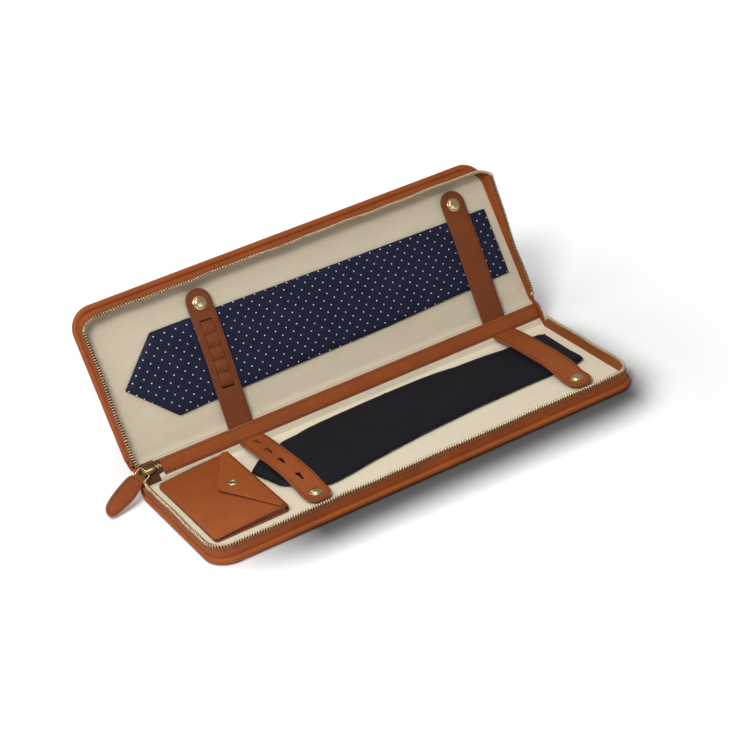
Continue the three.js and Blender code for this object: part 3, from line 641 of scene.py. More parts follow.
def block(name: str, size: Sequence[float], rounding: float, taper: float = 1.0,
          nib: bool = False) -> bpy.types.Mesh:
    """Makes a small rounded block that is stamped many times.

    Args:
        name: the mesh's name.
        size: along X, Y and Z.
        rounding: width of its bevels.
        taper: how much narrower its top is.
        nib: whether it is a zip's tooth, a little lower and with the nib that meshes on top.

    Returns:
        The mesh.
    """
    bm = bmesh.new()

    def cube(wide: Sequence[float], top: float, rise: float) -> None:
        """Adds a block with a narrower top."""
        for v in bmesh.ops.create_cube(bm, size=1.0)["verts"]:
            narrow = top if v.co.z > 0 else 1.0
            v.co = Vector((v.co.x * wide[0] * narrow, v.co.y * wide[1] * narrow, v.co.z * wide[2] + rise))

    cube(size, taper, -0.1 if nib else 0.0)
    bevel(bm, bm.edges[:], rounding, 1)
    if nib:
        cube((0.55, 1.3, 0.6), 0.7, 1.2)
    bmesh.ops.recalc_face_normals(bm, faces=bm.faces[:])
    mesh = bpy.data.meshes.new(name)
    bm.to_mesh(mesh)
    bm.free()
    return mesh


def zip_tooth(name: str) -> bpy.types.Mesh:
    """One tooth of the zip: a bar with rounded ends across the row, and its nib."""
    return block(name, (0.95, 2.9, 2.5), 0.3, 0.84, True)


@dataclass
class Stitching:
    """Rows of slanted stitches, each a rounded bead half sunk in the leather."""

    pitch: float = 3.6
    length: float = 2.3
    width: float = 0.85
    slant: float = 8.0

    @cached_property
    def bead(self) -> bpy.types.Mesh:
        """The one stitch that is stamped."""
        return block("stitch", (self.length, self.width, 0.4), 0.15)

    def sew(self, name: str, matrix: Matrix, body: str, paths: Iterable[Path],
            up: Callable[[float], Vector] = lambda along: UP, lift: float = 0.05, ends: float = 1.5,
            finish: Finish = Finish.THREAD) -> None:
        """Sews rows of stitches and makes them one object.

        Args:
            name: the object's name.
            matrix: from the paths' frame to the scene.
            body: the body it rides on.
            paths: each row's line on the leather's surface.
            up: the surface's outward direction at a distance along a path.
            lift: how far a stitch's middle stands above the surface.
            ends: what stays free at both ends.
            finish: what the stitches are made of.
        """
        work = Workpiece(name, matrix)
        slant = Matrix.Rotation(radians(self.slant), 4, "Z")
        for path in paths:
            reach = path.length - 2 * ends
            count = max(1, int(reach / self.pitch))
            for i in range(count + 1):
                along = ends + reach * i / count
                place, heading = path.at(along)
                normal = up(along).normalized()
                side = normal.cross(heading).normalized()
                turn = Matrix((heading, side, normal.copy())).transposed().to_4x4()
                work.stamp(self.bead, Matrix.Translation(place + normal * lift) @ turn @ slant)
        work.finish(body, finish)


SEWING = Stitching()


def blend_fold(piece: bpy.types.Object, side: str, tray: Vector, spine: Vector) -> None:
    """Bakes a piece's place into its mesh; it does not bend it across the fold.

    Args:
        piece: the object.
        side: the tray that it joins to the spine.
        tray: where the bend would end on the tray's side, in the scene; not used.
        spine: where it would end on the spine's side; not used.
    """
    if side == "base":
        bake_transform(piece)
    else:
        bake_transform(piece)


def rim_path(inset: float, height: float, back_gap: float, steps: int = 12) -> Path:
    """Line round a tray's three sides, from its left back end to its right one, before the wall leans.

    Args:
        inset: distance in from the outer edge.
        height: above the outer face.
        back_gap: from the fold line to both ends.
        steps: points to each corner.

    Returns:
        The line.
    """
    reach, x = CASE.corner - inset, CASE.half_length - inset
    corners = [arc(side * CASE.corner_x, CASE.corner_y, reach, start, pi / 2, steps, height)
               for side, start in ((-1, pi), (1, 1.5 * pi))]
    return Path([(-x, -back_gap, height), *corners[0], *corners[1], (x, -back_gap, height)])


@dataclass
class Tray:
    """One half of the case: cover, side wall, zip row and lining."""

    place: Place
    canvas: Finish
    lean: float
    zip_back: Point
    flop: float = 0.0
    tooth_shift: float = 0.0
    lip: float = 5.8
    lip_rounding: float = 2.6
    panel_top: float = 2.1
    curl_inset: float = 1.3
    wall_back: float = 3.2
    wall_thick: float = 2.0
    taper_start: float = 13.0
    taper_top: float = 10.6
    row_drop: float = 3.8
    row_end: float = 9.0
    left_hold: Point = (50.0, 75.0)
    right_hold: float = 45.0
    right_fade: Point = (20.0, 80.0)
    least_fade: float = 0.35
    middle_loss: float = 0.55
    sway_by: float = 0.28
    seam_height: float = 12.6
    canvas_thick: float = 1.2
    slack: float = 0.2
    lining_inset: float = 4.75
    lining_bend: float = -6.8
    bend_radius: float = 4.2

    @property
    def body(self) -> str:
        """The body this tray rides on."""
        return self.place.value

    def build(self) -> None:
        """Makes every piece of the tray."""
        self.cover()
        self.wall()
        self.tape()
        self.teeth()
        self.lining()

    def piece(self, name: str) -> Workpiece:
        """Starts a workpiece in this tray's frame."""
        return Workpiece(f"{self.body}_{name}", self.place.matrix)

    def sweep(self, work: Workpiece, section: Sequence[Point], back_gaps: Point, rounding: float) -> None:
        """Carries a closed section of inset and height round the three outer sides."""
        x, y = CASE.corner_x, CASE.corner_y
        edges = work.loop([(-CASE.half_length + inset, -back_gaps[0], height) for inset, height in section],
                          rounding=rounding)
        edges = work.pull(edges, (0, y + back_gaps[0], 0), 24)
        edges = work.turn(edges, (-x, y, 0), pi / 2, 16)
        edges = work.pull(edges, (2 * x, 0, 0), 48)
        edges = work.turn(edges, (x, y, 0), pi / 2, 16)
        work.pull(edges, (0, -y - back_gaps[1], 0), 24)
        work.close()

    def settle(self, p: Vector) -> Vector:
        """Lets the soft wall lean in at the front and flop to one side, in proportion to its height."""
        height = p.z / CASE.half_height
        front = unit((CASE.corner_y - p.y) / (CASE.corner - CASE.zip_inset))
        if p.x < 0:
            share = unit((-p.y - self.left_hold[0]) / self.left_hold[1])
        else:
            share = ease(unit(-p.y / self.right_hold))
        p.y += self.lean * height * front
        if p.x > 0:
            fade = max(self.least_fade, min(1.0, (-p.y - self.right_fade[0]) / self.right_fade[1]))
            share = (1 - self.middle_loss * unit(p.x / CASE.corner_x)) * max(share * fade, front)
        p.x -= self.flop * height * share
        return p

    def taper(self, p: Vector) -> Vector:
        """Brings the wall's top down towards the fold."""
        if p.y > -self.taper_start and p.z > self.taper_top - 1:
            share = ease(min(1.0, (p.y + self.taper_start) / (self.taper_start - 4.0)))
            p.z = min(p.z, CASE.wall_top + (self.taper_top - CASE.wall_top) * share)
        return p

    def sink(self, p: Vector) -> Vector:
        """Brings the zip row down with the wall's tapering end."""
        if p.y > -self.taper_start - 2:
            p.z -= self.row_drop * ease(min(1.0, (p.y + self.taper_start + 2) / 11))
        return p

    def sway(self, p: Vector) -> Vector:
        """Lets the soft wall wander a little."""
        amount = self.sway_by * max(0.0, p.z - 4) / 10
        if p.y < -CASE.half_depth + 3 * CASE.corner / 2:
            p.y += amount * (sin(p.x * 0.061 + 1.3) + 0.6 * sin(p.x * 0.143 + 0.4))
        else:
            p.x += amount * sin(p.y * 0.11 + (1 if p.x > 0 else 2.2))
        return p

    def cover(self) -> None:
        """Leather cover: flat panel with a rolled lip on three sides and a curl beside the fold."""
        work = self.piece("cover_leather")
        bm, half, back, front = work.bm, CASE.half_length, -CASE.curl + 1.0, -CASE.half_depth
        panel = work.face([(-half, back, 0), (half, back, 0), (half, front, 0), (-half, front, 0)])
        bevel(bm, list(panel.verts)[2:], CASE.corner, 18, "VERTICES")
        work.thicken(bm.faces[:], (0, 0, self.lip))
        work.outwards()
        work.soften(60, self.lip_rounding, 7, lambda e: abs(e.verts[0].co.z - e.verts[1].co.z) < 1e-3
                    and min(v.co.y for v in e.verts) < back - 1e-3)
        bm.faces.ensure_lookup_table()
        top = max(bm.faces, key=lambda f: f.calc_center_median().z + f.calc_area() * 1e-6)
        for thickness, depth in ((0.2, 0.0), (1.9, -0.35), (0.15, -3.35)):
            bmesh.ops.inset_region(bm, faces=[top], thickness=thickness, depth=depth)
        work.slice(0, [-half + 5.0, half - 5.0])
        for v in bm.verts:
            if abs(v.co.x) < half - 4.9 and v.co.y > back - 2.6 and v.co.z > self.panel_top:
                v.co.z = self.panel_top
        left = -half + self.curl_inset
        curl = work.loop([(left, back, 0), (left, back, 2.0)], closed=False)
        work.turn(curl, (0, back, CASE.curl), pi / 2, 14, (1, 0, 0))
        strip = [f for f in bm.faces if all(abs(v.co.x - left) < 1e-3 for v in f.verts)]
        work.thicken(strip, (-2 * left, 0, 0))
        work.outwards()
        work.finish(self.body, Finish.COVER, node=f"{self.body}_cover", crease=50)

    def wall(self) -> None:
        """Leather side wall with its row of stitches under the zip."""
        work = self.piece("wall_leather")
        outer, inner = CASE.wall_inset, CASE.wall_inset + self.wall_thick
        low, top = self.panel_top, CASE.wall_top
        section = [(outer, low), (inner, low), (inner, top), (outer, top)]
        self.sweep(work, section, (self.wall_back, self.wall_back), 0.55)
        work.shape(self.taper, self.settle, self.sway)
        work.finish(self.body, Finish.WALL, node=f"{self.body}_gusset")
        line = rim_path(outer - 0.02, self.seam_height, self.taper_start)
        path = Path([self.sway(self.settle(line.at(line.length * i / 300)[0])) for i in range(301)])

        def outward(along: float) -> Vector:
            """Nearly level direction away from the tray."""
            heading = path.at(along)[1]
            return Vector((heading.y, -heading.x, 0.15))

        SEWING.sew(f"{self.body}_wall_stitches", self.place.matrix, self.body, [path], outward)

    def tape(self) -> None:
        """Woven zip tape with the cord that the teeth are clamped on."""
        work = self.piece("zip_tape")
        low, top = CASE.wall_top - 1.2, CASE.half_height - 2.1
        section = [(-0.45, low), (0.45, low), (0.45, top - 1.3), (1.15, top - 1.0), (1.15, top - 0.2),
                   (-1.15, top - 0.2), (-1.15, top - 1.0), (-0.45, top - 1.3)]
        self.sweep(work, [(CASE.zip_inset + across, height) for across, height in section], self.zip_back, 0.0)
        work.shape(self.sink, self.settle, self.sway)
        work.map_flat(lambda p: (p.x + p.y, p.z))
        work.finish(self.body, Finish.TAPE)

    def teeth(self) -> None:
        """Row of brass teeth, and its end stop."""
        work = self.piece("zip_teeth")
        tooth = zip_tooth(f"{self.body}_tooth")
        path = rim_path(CASE.zip_inset, CASE.half_height - 1.7, self.row_end)
        along = 1.2 + self.tooth_shift * CASE.tooth_pitch + self.zip_back[0] - self.row_end
        while along < path.length - 1.2 - self.zip_back[1] + self.row_end:
            place, heading = path.at(along)
            low, place = (self.sway(self.settle(self.sink(p))) for p in (place - Vector((0, 0, 3)), place))
            up = (place - low).normalized()
            side = up.cross(heading).normalized()
            turn = Matrix((side.cross(up), side, up)).transposed().to_4x4()
            work.stamp(tooth, Matrix.Translation(place) @ turn)
            along += CASE.tooth_pitch
        work.finish(self.body, Finish.TEETH, node=f"{self.body}_zip")
        self.stop(path)

    def stop(self, path: Path) -> None:
        """Brass end stop of the row, beside the fold on the side away from the slider."""
        work = self.piece("stop_brass")
        place, heading = path.at(path.length - 0.4 if self.place is Place.BASE else 0.4)
        place = self.sway(self.settle(self.sink(place)))
        turn = Matrix((heading, UP.cross(heading).normalized(), UP)).transposed().to_4x4()
        work.stamp(block(f"{self.body}_stop", (2.6, 3.6, 3.4), 0.4), Matrix.Translation(place) @ turn)
        work.finish(self.body, Finish.TEETH, node=f"{self.body}_zip_stop")

    def lining(self) -> None:
        """Canvas stretched over the board and curled up to the fold, with a little slack in it."""
        work = self.piece("lining_canvas")
        inset, radius, bend = self.lining_inset, self.bend_radius, self.lining_bend
        half, corner = CASE.half_length - inset, CASE.corner - inset
        front = -CASE.half_depth + inset + self.lean * CASE.lining_top / CASE.half_height
        back = bend + pi / 2 * radius
        bmesh.ops.create_grid(work.bm, x_segments=136, y_segments=48, size=1.0)
        work.shape(lambda p: Vector((p.x * half, (front + back) / 2 + p.y * (back - front) / 2, 0)))
        work.map_flat()

        def lay(p: Vector) -> Vector:
            """Rounds the front corners, bends the back up and adds the slack."""
            dx, dy = abs(p.x) - half + corner, front + corner - p.y
            if dx > 0 and dy > 0:
                shrink = max(dx, dy) / hypot(dx, dy)
                p.x = copysign(half - corner + dx * shrink, p.x)
                p.y = front + corner - dy * shrink
            edge = min(1.0, (half - abs(p.x)) / 25, (p.y - front) / 25, max(0.0, bend - p.y) / 18)
            waves = sin(p.x * 0.045 + 0.6) * cos(p.y * 0.05) + 0.5 * sin(p.x * 0.11 - p.y * 0.07)
            z = CASE.lining_top + self.slack * edge * waves
            if p.y > bend:
                angle = min(pi / 2, (p.y - bend) / radius)
                p.y, z = bend + radius * sin(angle), CASE.curl - radius * cos(angle)
            return Vector((p.x, p.y, z))

        work.shape(lay)
        work.shell(self.canvas_thick)
        piece = work.finish(self.body, self.canvas, node=f"{self.body}_lining", slot="canvas_lining")


@dataclass
class Strap:
    """Leather strap over a tie: sewn at its root, arched, and snapped down at its round end."""

    name: str
    place: Place
    leather: Finish
    root: float
    snap: float
    arch: float
    keyholes: Sequence[float] = ()
    slits: Sequence[float] = ()
    width: float = 23.0
    thick: float = 1.8
    snap_distance: float = 110.0
    tip: float = 13.0
    start: float = 0.2
    root_height: float = 10.9
    snap_height: float = 8.9
    seam_inset: float = 1.8
    slit: Point = (5.7, 1.5)
    strip_half: float = 5.4
    strip_thick: float = 0.9
    loop_rise: float = 2.5
    loop_under: float = 1.2

    def __post_init__(self) -> None:
        """Works out the line of the strap's underside and its place in the scene."""
        d, top, low = self.snap_distance, CASE.lining_top + self.arch, self.snap_height
        points = [(self.start, self.root_height), (0.12 * d, self.root_height + 0.6 * (top - self.root_height)),
                  (0.27 * d, top), (0.5 * d, top + 0.3), (0.72 * d, top), (0.86 * d, (top + low) / 2),
                  (d - 8.7, low + 0.3), (d - 6, low), (d + self.tip, low)]
        self.line = Path([(0, -y, z) for y, z in points]).smooth()
        turn = Matrix.Rotation(atan2(self.snap - self.root, d), 4, "Z")
        self.matrix = self.place.matrix @ at(self.root, 0, 0) @ turn
        self.body = f"{self.name}_strap"

    def station(self, distance: float) -> float:
        """Length along the strap at a distance from the fold line."""
        low, high = 0.0, self.line.length
        for _ in range(40):
            middle = (low + high) / 2
            low, high = (middle, high) if -self.line.at(middle)[0].y < distance else (low, middle)
        return low

    def bend(self, p: Vector) -> Vector:
        """Lays a point of the flat strap, across, along and up, on the arch."""
        place, heading = self.line.at(-p.y)
        return Vector((p.x, place.y, place.z)) + Vector((0, heading.z, -heading.y)) * p.z

    def outline(self, inset: float = 0.0) -> list[Vector]:
        """Corners of the flat strap, with its round end."""
        half, end = self.width / 2 - inset, self.line.length - inset
        return [Vector((half, -inset, 0)), *arc(0, half - end, half, 0, -pi, 24), Vector((-half, -inset, 0))]

    def keyhole(self, work: Workpiece, distance: float) -> None:
        """Draws a keyhole slot's outline: a round head towards the root and a slit."""
        s, head, half, reach = self.station(distance), 2.4, 1.15, 5.5
        work.loop([*arc(0, reach - head - s, head, radians(240), -radians(300), 12),
                   *arc(0, half - reach - s, half, 0, -pi, 6)])

    def build(self) -> None:
        """Makes the strap, its stitches, its cap and what is cut or woven through it."""
        work = Workpiece(f"{self.name}_leather", self.matrix)
        work.loop(self.outline())
        for distance in self.keyholes:
            self.keyhole(work, distance)
        for distance in self.slits:
            s, (x, y) = self.station(distance), self.slit
            work.loop([(-x, y - s, 0), (x, y - s, 0), (x, -y - s, 0), (-x, -y - s, 0)])
        work.fill(work.bm.edges[:])
        count = int(self.line.length / 2.5)
        work.slice(1, [-self.line.length * i / count for i in range(1, count)])
        work.slice(0, [-self.width / 4, 0.0, self.width / 4])
        work.thicken(work.bm.faces[:], (0, 0, self.thick))
        work.trim(0.4)
        work.map_flat()
        work.shape(self.bend)
        work.finish(self.body, self.leather, Finish.EDGE, node=self.body, crease=50)
        self.sew()
        self.cap()
        if self.slits:
            self.loops()

    def sew(self) -> None:
        """Stitches round the strap, in from its edge."""
        flat = Path(self.outline(self.seam_inset))
        lifted = Path([self.bend(flat.at(flat.length * i / 160)[0] + UP * self.thick) for i in range(161)])

        def up(along: float) -> Vector:
            """The leather's outward direction."""
            heading = self.line.at(-flat.at(along * flat.length / lifted.length)[0].y)[1]
            return Vector((0, heading.z, -heading.y))

        SEWING.sew(f"{self.name}_stitches", self.matrix, self.body, [lifted], up, 0.1)

    def cap(self) -> None:
        """Domed brass cap on a low flange, with its socket beneath."""
        work = Workpiece(f"{self.name}_cap", self.matrix @ at(0, -self.snap_distance, self.snap_height))
        dome = [(0, 2.5), (2.2, 2.4), (3.9, 2.05), (4.7, 1.6), (5.0, 1.1), (5.15, 0.85), (5.6, 0.9), (6.0, 0.6),
                (6.05, 0.05), (1.7, 0.05)]
        socket = [(1.7, -0.3), (4.2, -0.3), (4.2, -1.9), (2.7, -1.9), (2.7, -1.1), (0, -1.1)]
        work.lathe([(r, self.thick + z) for r, z in dome] + socket, 40)
        work.finish(self.body, Finish.BRASS, node=f"{self.name}_snap_cap", crease=45)

    def loops(self) -> None:
        """Narrow strip woven through the slits, standing up in a loop between each two."""
        work = Workpiece(f"{self.name}_loops", self.matrix)
        stations = [self.station(d) for d in self.slits]
        half, under, points = self.strip_half, self.loop_under, []
        for a, b in zip(stations, stations[1:]):
            for share in (i / 14 for i in range(14)):
                rise = self.loop_rise * sin(pi * share) ** 0.6 if share else 0.0
                points.append((a + (b - a) * share, rise - under))
        points.append((stations[-1], -under))
        edges = work.loop([(-half, -s, z + self.thick) for s, z in points], closed=False)
        work.pull(edges, (2 * half, 0, 0), 4)
        work.shell(-self.strip_thick)
        work.soften(60, 0.25)
        work.shape(self.bend)
        work.finish(self.body, self.leather, node="lid_loop_strip")


@dataclass
class Spine:
    """The strip between the folds: inner band with its seams, right end piece, zip slider, tail and row ends."""

    band_left: float = -180.0
    band_right: float = 199.6
    band_low: float = 0.5
    band_high: float = 14.9
    band_thick: float = 1.2
    band_crown: float = 0.3
    seam: float = 2.0
    slider: tuple[float, float, float] = (-192.5, 9.6, 1.3)

    def build(self) -> None:
        """Makes every piece on the spine."""
        self.band()
        self.hinges()
        self.end()
        self.corner_folds()
        self.slider_body()
        self.slider_bridge()
        self.tail()
        self.row_end("base", Place.BASE, [(-201.4, -26.0, 15.7), (-201.3, -19.0, 15.4), (-200.9, -12.0, 14.6),
                                          (-199.6, -4.5, 14.6), (-198.2, 1.2, 16.6), (-196.0, 3.4, 19.6)],
                     [UP, UP, (0.1, 0.1, 1), (0.3, 0.2, 0.9), (0.35, 0.5, 0.75), (0.2, 0.5, 0.86)])
        self.row_end("lid", Place.SPINE, [(-201.0, 40.0, 4.7), (-201.1, 33.0, 4.5), (-201.0, 26.0, 4.2),
                                          (-200.4, 20.0, 3.8), (-198.8, 15.6, 3.2), (-196.0, 12.4, 2.9)],
                     [UP, UP, (0.1, 0, 1), (0.35, -0.1, 0.8), (0.4, -0.5, 0.6), (0.2, -0.9, 0.3)])

    def band(self) -> None:
        """Leather band along the spine, sewn along its edges and twice across at its left end."""
        work = Workpiece("spine_band_leather", Place.SPINE.matrix)
        left, right, low, high = self.band_left, self.band_right, self.band_low, self.band_high
        work.face([(left, low, 1.5), (right, low, 1.5), (right, high, 1.5), (left, high, 1.5)])
        work.slice(0, [left + 6.0 * i for i in range(1, 63)])
        work.slice(1, [4.5, 8.0, 11.5])
        work.thicken(work.bm.faces[:], (0, 0, self.band_thick))
        work.trim(0.4)
        crown = (low + high) / 2
        work.shape(lambda p: p + UP * (self.band_crown * (1 - ((p.y - crown) / 6.9) ** 2) * (p.z > 1.8)))
        work.finish("spine", Finish.STRAP, Finish.EDGE, node="spine_band")
        low, high, across, box = low + self.seam, high - self.seam, left + 1.6, left + 4.4
        rows = [[(across, low), (right - 1.5, low)], [(across, high), (right - 1.5, high)],
                [(across, low + 1), (across, high - 1)], [(box, low + 1), (box, high - 1)]]
        paths = [Path([(x, y, 2.75) for x, y in row]) for row in rows]
        SEWING.sew("spine_band_stitches", Place.SPINE.matrix, "spine", paths, lift=0.1, ends=0.8)

    def hinges(self) -> None:
        """Canvas and leather strips that close both folds beside the band."""
        rise = Matrix.Rotation(-CASE.rise, 3, "X")
        # The lid's fold canvas takes the lid's canvas with its painted shade.
        sides = {"base": (rise @ Vector((0, -2.85, -2.1)), Vector((0, 4.0, 1.35)), Finish.CANVAS),
                 "lid": (Vector((0, CASE.spine_width + 2.85, -2.1)), Vector((0, CASE.spine_width - 4.0, 1.35)),
                         Finish.SHADED_LID_CANVAS)}
        for name, left, right in (("canvas", -184.5, 199.2), ("leather", -199.6, -184.5)):
            for side, (low, high, canvas) in sides.items():
                work = Workpiece(f"{side}_fold_{name}", Place.SPINE.matrix)
                line = Path([low, (low + high) / 2 + UP * 0.9, high]).smooth(5)
                edges = work.loop([(left, p.y, p.z) for p in line.points], closed=False)
                work.pull(edges, (right - left, 0, 0), max(2, int((right - left) / 8)))
                work.shell(0.3)
                work.map_flat(lambda p: (p.x, p.y + p.z))
                piece = work.finish("", canvas if name == "canvas" else Finish.TAPE)
                blend_fold(piece, side, Place.SPINE.matrix @ low, Place.SPINE.matrix @ high)

    def row_end(self, side: str, place: Place, points: Sequence[Sequence[float]],
                ups: Sequence[Sequence[float]]) -> None:
        """End of a zip row that leaves its wall and curves into the slider.

        Args:
            side: the tray that it comes from.
            place: the frame of its points.
            points: its line, from the tray to the slider.
            ups: the way its teeth point at each of them.
        """
        line = Path(points).smooth(5)
        turns = Path([Vector(u).normalized() for u in ups]).smooth(5).points

        def along(p: Vector) -> Vector:
            """Lays a point of the straight row on the line."""
            where, heading = line.at(p.x)
            up = turns[min(len(turns) - 1, round(p.x / line.length * (len(turns) - 1)))]
            across = heading.cross(up).normalized()
            return where + across * p.y + across.cross(heading) * p.z

        tray, spine = (place.matrix @ Vector(points[i]) for i in (2, 4))
        tape = Workpiece(f"{side}_row_end_tape", place.matrix)
        section = [(-0.45, -2.6), (0.45, -2.6), (0.45, -0.6), (0.7, -0.4), (0.7, 0.1), (-0.7, 0.1), (-0.7, -0.4),
                   (-0.45, -0.6)]
        tape.pull(tape.loop([(0, y, z) for y, z in section]), (line.length, 0, 0), 28)
        tape.close()
        tape.map_flat(lambda p: (p.x, p.z))
        tape.shape(along)
        blend_fold(tape.finish("", Finish.TAPE), side, tray, spine)
        teeth = Workpiece(f"{side}_row_end_teeth", place.matrix)
        tooth = zip_tooth(f"{side}_end_tooth")
        for i in range(int((line.length - 2.0) / CASE.tooth_pitch)):
            teeth.stamp(tooth, at(1.2 + CASE.tooth_pitch * i, 0, 0.35))
        teeth.shape(along)
        blend_fold(teeth.finish("", Finish.TEETH), side, tray, spine)

    def end(self) -> None:
        """Leather fold that closes the gap between the two walls at the right."""
        work = Workpiece("spine_end_leather", Place.SPINE.matrix)
        x = CASE.half_length - 5.0
        work.plate([(x, 1.3, 1.3), (x, 12.7, 1.3), (x, 9.2, 6.3), (x, 4.8, 6.3)], (1.6, 0, 0), 1.2)
        work.close()
        work.soften(60, 0.35)
        work.finish("spine", Finish.WALL, node="spine_end_right")

    def corner_folds(self) -> None:
        """Soft leather at the right end that joins each wall to the end piece across its fold."""
        x, wide = CASE.half_length - 4.6, CASE.spine_width
        shapes = {
            "base": (-3.0, 3.5, [(-8.6, -1.4), (-2.7, 3.2), (2.4, 5.2), (5.4, 6.0), (5.4, 1.8), (0.6, -0.6),
                                 (-4.0, -2.4)]),
            "lid": (wide + 3.0, wide - 3.5, [(18.2, -8.2), (18.6, -0.8), (12.4, 4.6), (8.6, 6.0), (8.6, 1.8),
                                             (12.6, -2.2)]),
        }
        for side, (tray, spine, outline) in shapes.items():
            work = Workpiece(f"{side}_corner_fold", Place.SPINE.matrix)
            work.plate([(x, u, n) for u, n in outline], (2.0, 0, 0), 0.9)
            work.slice(1, [-7.0 + 1.5 * i for i in range(17)])
            work.close()
            work.soften(60, 0.3)
            ends = [Place.SPINE.matrix @ Vector((x, y, 0)) for y in (tray, spine)]
            blend_fold(work.finish("", Finish.WALL), side, *ends)

    def slider_body(self) -> None:
        """Zip slider: two shield plates with the post and the rails between them."""
        work = Workpiece("zip_slider_body", Place.SPINE.matrix @ at(*self.slider))
        plan = [(6.5, -2.2), (6.5, 2.2), (2.6, 3.8), (-2.5, 3.8), (-6.5, 2.6), (-6.5, -2.6), (-2.5, -3.8),
                (2.6, -3.8)]
        for low, high in ((0.0, 0.95), (2.5, 3.45)):
            work.plate([(x, y, low) for x, y in plan], (0, 0, high - low), 1.0)
        rail = [(-2.4, 3.75), (2.5, 3.75), (6.2, 2.15), (6.2, 1.7), (2.5, 3.1), (-2.4, 3.1)]
        post = [(-6.3, -1.2), (-0.8, -0.15), (-0.8, 0.15), (-6.3, 1.2)]
        for between in ([(x, -y) for x, y in rail], rail, post):
            work.plate([(x, y, 0.9) for x, y in between], (0, 0, 1.65))
        work.close()
        work.soften(50, 0.2)
        # The slider's dark brass holds painted shade as well as its antique finish.
        work.finish("spine", Finish.ANTIQUE_AND_SHADE, node="zip_slider", crease=45)

    def slider_bridge(self) -> None:
        """Bright bridge on the slider, for the puller's link."""
        work = Workpiece("zip_slider_bridge", Place.SPINE.matrix @ at(*self.slider))
        arch = work.loop([(-5.0, -1.0, 3.3), (-5.0, 1.0, 3.3), (-4.1, 1.0, 3.3), (-4.1, -1.0, 3.3)])
        for centre, way in ((-3.1, (0, 0, 0.9)), (3.1, (6.2, 0, 0))):
            arch = work.turn(work.pull(arch, way), (centre, 0, 4.2), pi / 2, 5, (0, 1, 0))
        work.pull(arch, (0, 0, -0.9))
        work.close()
        work.soften(50, 0.18)
        work.finish("spine", Finish.BRASS, crease=45)

    def tail(self) -> None:
        """Closed end of the zip between slider and band: woven tape and meshed teeth."""
        seat = Place.SPINE.matrix @ at(0, 0, self.slider[2])
        work = Workpiece("zip_tail_tape", seat)
        plan = [(-198.5, 1.6), (-190.0, 1.4), (-180.5, 3.6), (-177.0, 3.6), (-177.0, 14.4), (-198.5, 14.4)]
        work.face([(x, y, 0) for x, y in plan])
        work.thicken(work.bm.faces[:], (0, 0, 0.7))
        work.outwards()
        work.soften(60, 0.2)
        work.map_flat()
        work.finish("spine", Finish.TAPE, node="zip_tail")
        teeth = Workpiece("zip_tail_teeth", seat)
        tooth = block("tail_tooth", (1.15, 2.6, 1.5), 0.25)
        for i in range(5):
            teeth.stamp(tooth, at(-186.6 + 1.4 * i, self.slider[1] + (0.55 if i % 2 else -0.55), 1.15))
        teeth.finish("spine", Finish.BRASS)


